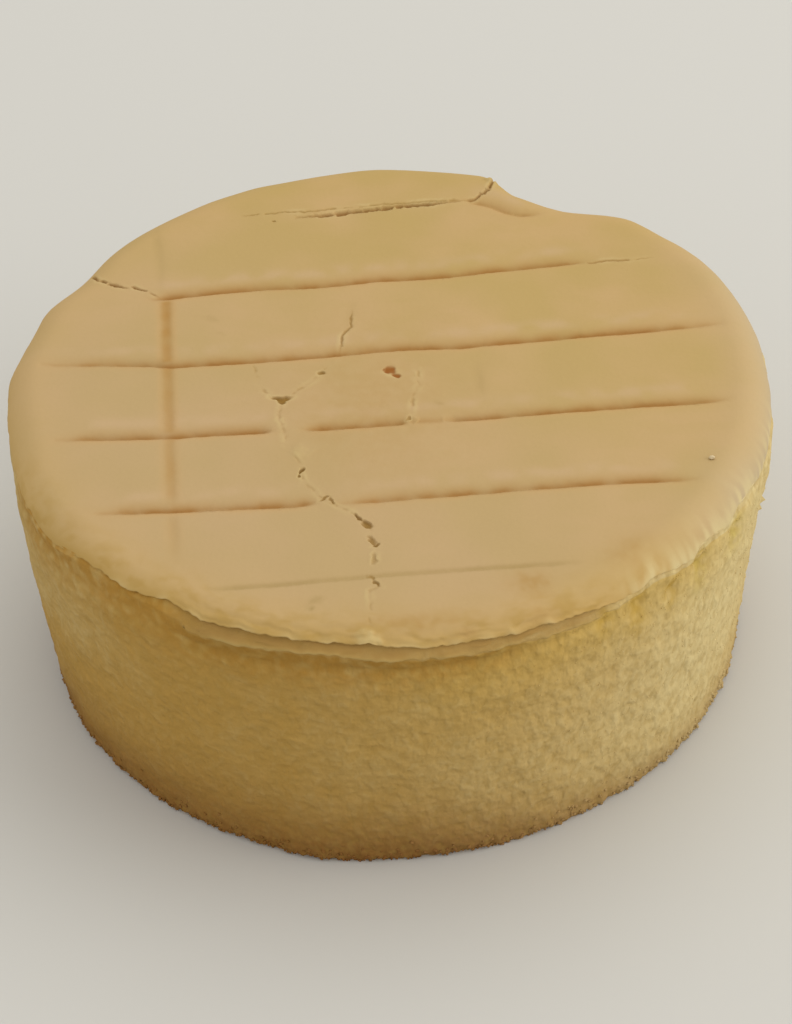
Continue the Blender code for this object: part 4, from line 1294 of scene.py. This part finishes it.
@dataclass(frozen=True)
class BrownedSkinFinish(Finish):
    """Matt tan skin, browner in its grooves and at its rim, with some painted shade and painted highlights.
    """

    name: str = "browned_skin"
    tan: Colour = (0.462, 0.311, 0.120)
    tan_rosy: Colour = (0.490, 0.326, 0.142)
    tan_olive: Colour = (0.438, 0.305, 0.108)
    layers: tuple = (
        ("wan", 0.55, (0.458, 0.322, 0.172)),
        ("edge", 0.8, (0.49, 0.315, 0.098)),
        ("pale", 0.9, (0.455, 0.360, 0.222)),
        ("ochre", 0.75, (0.395, 0.245, 0.062)),
        ("rosy", 0.55, (0.505, 0.345, 0.185)),
        ("stain", 0.75, (0.345, 0.235, 0.085)),
        ("dull", 0.9, (0.400, 0.240, 0.077)),
        # Painted highlight on groove rims and bar edges.
        ("painted_highlight", 0.4, (0.520, 0.315, 0.125)),
        ("bar", 0.8, (0.375, 0.195, 0.045)),
        # Far wall of each groove: browner tone and painted shade.
        ("far_wall_tone_and_shade", 0.7, (0.400, 0.225, 0.072)),
        ("groove", 0.75, (0.315, 0.140, 0.026)),
        # Pale ragged skin beside cracks and holes, plus a painted highlight on the curls of the torn edge.
        ("frayed_and_highlit", 0.8, (0.530, 0.395, 0.175)),
        # Holes and cracks: partly brown, partly painted shade inside them.
        ("tear_tone_and_shade", 0.9, (0.260, 0.135, 0.018)),
        ("split", 0.95, (0.275, 0.125, 0.024)),
        ("burnt", 0.94, (0.270, 0.088, 0.010)),
        ("scab", 0.9, (0.530, 0.400, 0.175)),
        ("bare", 0.9, (0.590, 0.475, 0.235)),
    )

    def material(self) -> bpy.types.Material:
        """Build the material."""
        material, sheet, shader, place = self.start()
        broad = self.mottled(sheet, place, 0.022, 2.0)
        fine = self.mottled(sheet, sheet.stretched(place, 0.5, 1, 1), 0.005, 1.6)
        colour = sheet.mix(broad, self.tan_olive, self.tan_rosy)
        colour = sheet.mix(0.25, colour, self.tan)
        colour = sheet.mix(sheet.remap(fine, 0.45, 1.0, 0, 0.22), colour, self.tan_olive)
        colour = sheet.tinted(colour, self.layers)
        sheet.tree.links.new(colour, shader.inputs["Base Color"])
        self.bumped(sheet, shader, self.pored(sheet, place, 0.0012, 0.4)[1], 0.12, 0.0004)
        return material


@dataclass(frozen=True)
class CrumbFinish(Finish):
    """Open sponge crumb, pale yellow to darkest straw, the dark end partly painted shade, with painted shade
    in its pits and pores.
    """

    name: str = "sponge_crumb"
    roughness: float = 0.9
    specular: float = 0.05
    # How strong the painted shade in pits and pores is.
    pitted: float = 1.0
    pale: Colour = (0.632, 0.518, 0.262)
    light: Colour = (0.700, 0.587, 0.312)
    # Darkest straw, partly the crumb's own tone and partly painted shade for the left front side.
    deep_and_shaded: Colour = (0.450, 0.270, 0.068)
    # Colour of the painted shade in pits, pores and dark streaks.
    pit_shade: Colour = (0.330, 0.205, 0.048)
    layers: tuple = (
        # Hollows at the right: olive tone, partly painted shade.
        ("hollow_tone_and_shade", 0.8, (0.400, 0.250, 0.035)),
        ("fresh", 0.75, (0.500, 0.400, 0.085)),
        ("tan", 0.8, (0.480, 0.345, 0.155)),
        # Partly the ledge's own browner tone, partly painted shade from the skin above it.
        ("ledge", 0.9, (0.360, 0.210, 0.061)),
        # Painted highlight along the lower edge of the ledge.
        ("lip", 0.9, (0.490, 0.342, 0.120)),
        ("straw", 0.5, (0.560, 0.350, 0.062)),
        # Partly browning, partly painted shade under the overhanging lip.
        ("under", 0.85, (0.372, 0.188, 0.031)),
        # Painted shadow in a thin line right under the lip.
        ("gap", 0.3, (0.215, 0.110, 0.018)),
        # Painted shade along the foot, with a little browning.
        ("foot", 0.97, (0.135, 0.034, 0.008)),
    )

    def material(self) -> bpy.types.Material:
        """Build the material."""
        material, sheet, shader, place = self.start()
        drawn = sheet.stretched(place, 1, 1, 0.7)
        broad = self.mottled(sheet, drawn, 0.006, 0.8)
        woolly = self.mottled(sheet, drawn, 0.0018, 1.8)
        streaks = self.mottled(sheet, sheet.stretched(place, 0.4, 0.4, 1.2), 0.0016, 1.4)
        uneven = sheet.math("MULTIPLY", sheet.math("SUBTRACT", broad, 0.5), 0.2)
        # The crumb leans to its darkest straw where this mask is high, partly its own tone, partly painted
        # shade.
        warm_and_shaded = sheet.node("ShaderNodeClamp", {0: sheet.math("ADD", sheet.mask("warm_and_shaded"), uneven)}).outputs[0]
        ground = sheet.mix(warm_and_shaded, self.pale, self.deep_and_shaded)
        cool = sheet.math("SUBTRACT", 1.0, sheet.math("MULTIPLY", warm_and_shaded, 0.85))
        fluff = sheet.math("MULTIPLY", sheet.remap(woolly, 0.5, 1.0, 0, 0.35), cool)
        ground = sheet.mix(fluff, ground, self.light)
        streaked = sheet.math("MULTIPLY", sheet.math("MULTIPLY", streaks, warm_and_shaded), 0.3)
        ground = sheet.mix(streaked, ground, self.pit_shade)
        colour = sheet.tinted(ground, self.layers)
        # Painted shade: darker where the crumb sinks in and inside its pores.
        pores, grain = self.pored(sheet, drawn, 0.0015, 0.5)
        open_ = sheet.math("ADD", sheet.math("MULTIPLY", pores, 0.5), sheet.math("MULTIPLY", woolly, 0.3))
        colour = sheet.mix(sheet.mask("pit_shade", 0.3 * self.pitted), colour, self.pit_shade)
        shade = sheet.math("MULTIPLY", open_, sheet.mask("coarse", 0.5 * self.pitted))
        colour = sheet.mix(shade, colour, self.pit_shade)
        sheet.tree.links.new(colour, shader.inputs["Base Color"])
        bare = sheet.math("SUBTRACT", 1.0, sheet.mask("ledge", 0.9))
        height = sheet.math("ADD", grain, sheet.math("MULTIPLY", woolly, 0.5))
        self.bumped(sheet, shader, sheet.math("MULTIPLY", height, bare), 0.5, 0.0008)
        return material


@dataclass(frozen=True)
class DryCrumbFinish(Finish):
    """Dry pale crumb."""

    name: str = "dry_crumb"
    light: Colour = (0.64, 0.52, 0.32)
    dark: Colour = (0.59, 0.47, 0.28)
    lump: float = 0.0025

    def material(self) -> bpy.types.Material:
        """Build the material."""
        material, sheet, shader, place = self.start()
        colour = sheet.mix(self.mottled(sheet, place, self.lump, 1.6), self.dark, self.light)
        sheet.tree.links.new(colour, shader.inputs["Base Color"])
        self.bumped(sheet, shader, self.pored(sheet, place, 0.0008, 0.4)[1], 0.2, 0.0003)
        return material


@dataclass(frozen=True)
class FloorFinish:
    """Plain pale floor."""

    colour: Colour = (0.575, 0.563, 0.520)

    def material(self) -> bpy.types.Material:
        """Build the material."""
        material = bpy.data.materials.new("pale_floor")
        material.use_nodes = True
        shader = material.node_tree.nodes["Principled BSDF"]
        shader.inputs["Base Color"].default_value = (*self.colour, 1)
        shader.inputs["Roughness"].default_value = 0.9
        shader.inputs["Specular IOR Level"].default_value = 0.1
        return material


@dataclass(frozen=True)
class Lamp:
    """A round soft lamp that points at the cake."""

    name: str
    angle: float
    elevation: float
    distance: float
    size: float
    power: float
    colour: Colour = (1.0, 0.985, 0.96)

    def build(self) -> None:
        """Hang the lamp."""
        light = bpy.data.lights.new(self.name, "AREA")
        light.shape = "DISK"
        light.size = self.size
        light.energy = self.power
        light.color = self.colour
        lamp = bpy.data.objects.new(self.name, light)
        angle, rise = math.radians(self.angle), math.radians(self.elevation)
        way = Vector((math.cos(angle) * math.cos(rise), math.sin(angle) * math.cos(rise), math.sin(rise)))
        lamp.location = way * self.distance
        lamp.rotation_mode = "QUATERNION"
        lamp.rotation_quaternion = way.to_track_quat("Z", "Y")
        bpy.context.collection.objects.link(lamp)


@dataclass
class Studio:
    """Camera, floor and soft light."""

    distance: float = 830.49
    elevation: float = 42.43056
    pan: float = 0.07783
    tilt: float = 1.6675
    roll: float = -3.06756
    lens: float = 123.046875
    lamps: tuple = (
        Lamp("overhead", 60.0, 65.0, 1.3, 1.0, 2.6),
        Lamp("window", 350.0, 22.0, 1.5, 1.2, 8.5),
    )
    sky: float = 0.92
    sky_colour: Colour = (1.0, 0.99, 0.975)
    floor_reach: float = 4.0

    def build(self) -> None:
        """Set up the camera, the floor and the lights."""
        self.add_camera()
        self.add_floor()
        self.add_lights()

    def add_camera(self) -> None:
        """Camera that looks at the cake as the picture does."""
        up_angle = math.radians(self.elevation)
        place = Vector((0, -math.cos(up_angle), math.sin(up_angle))) * self.distance
        ahead = -place.normalized()
        right = Vector((1, 0, 0))
        up = right.cross(ahead)
        tilt, pan, roll = (math.radians(v) for v in (self.tilt, self.pan, self.roll))
        ahead, up = self.turned(ahead, up, tilt)
        ahead, right = self.turned(ahead, right, pan)
        right, up = self.turned(right, up, roll)
        lens = bpy.data.cameras.new("camera")
        lens.lens = self.lens
        lens.sensor_width = 36.0
        lens.clip_start = 0.01
        camera = bpy.data.objects.new("camera", lens)
        turned = Matrix((right, up, -ahead)).transposed().to_4x4()
        camera.matrix_world = Matrix.Translation((place + Vector(CENTRING)) * MM) @ turned
        bpy.context.collection.objects.link(camera)
        bpy.context.scene.camera = camera

    @staticmethod
    def turned(first: Vector, second: Vector, angle: float) -> tuple[Vector, Vector]:
        """Two directions at right angles, the first turned towards the second."""
        cosine, sine = math.cos(angle), math.sin(angle)
        return first * cosine + second * sine, second * cosine - first * sine

    def add_floor(self) -> None:
        """Wide floor under the cake."""
        reach = self.floor_reach
        mesh = bpy.data.meshes.new("floor")
        corners = [(-reach, -reach, 0), (reach, -reach, 0), (reach, reach, 0), (-reach, reach, 0)]
        mesh.from_pydata(corners, [], [(0, 1, 2, 3)])
        mesh.materials.append(FloorFinish().material())
        floor = bpy.data.objects.new("floor", mesh)
        bpy.context.collection.objects.link(floor)

    def add_lights(self) -> None:
        """Soft lamps and an even sky."""
        for lamp in self.lamps:
            lamp.build()
        world = bpy.data.worlds.new("sky")
        world.use_nodes = True
        background = world.node_tree.nodes["Background"]
        background.inputs["Color"].default_value = (*self.sky_colour, 1)
        background.inputs["Strength"].default_value = self.sky
        bpy.context.scene.world = world
        bpy.context.scene.view_settings.view_transform = "Standard"


def main() -> None:
    """Build the cake, its finishes and the studio."""
    logging.basicConfig(level=logging.INFO, format="%(message)s")
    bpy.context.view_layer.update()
    form = CakeForm()
    effects = ShaderEffects()
    skin = BrownedSkin(form, BrownedSkinFinish(effects).material()).build()
    side = SpongeSide(form, CrumbFinish(effects).material()).build()
    crumb = LooseCrumb(form, DryCrumbFinish(effects).material()).build()
    woolly = CrumbFinish(effects, name="woolly_crumb", pitted=0.2).material()
    fuzz = CrumbCoat(
        side, woolly, "side_crumbs", "woolly", 200000.0, (0.12, 0.12, 0.1), (0.28, 0.28, 0.2), (0.0, 90.0), 4
    ).build()
    foot = CrumbCoat(
        side, woolly, "foot_crumbs", "grit", 700000.0, (0.25, 0.25, 0.25), (0.65, 0.65, 0.55), (0.0, 90.0), 9
    ).build()
    for piece in (skin, side, crumb, fuzz, foot):
        mount(piece)
    Studio().build()


if __name__ == "__main__":
    main()
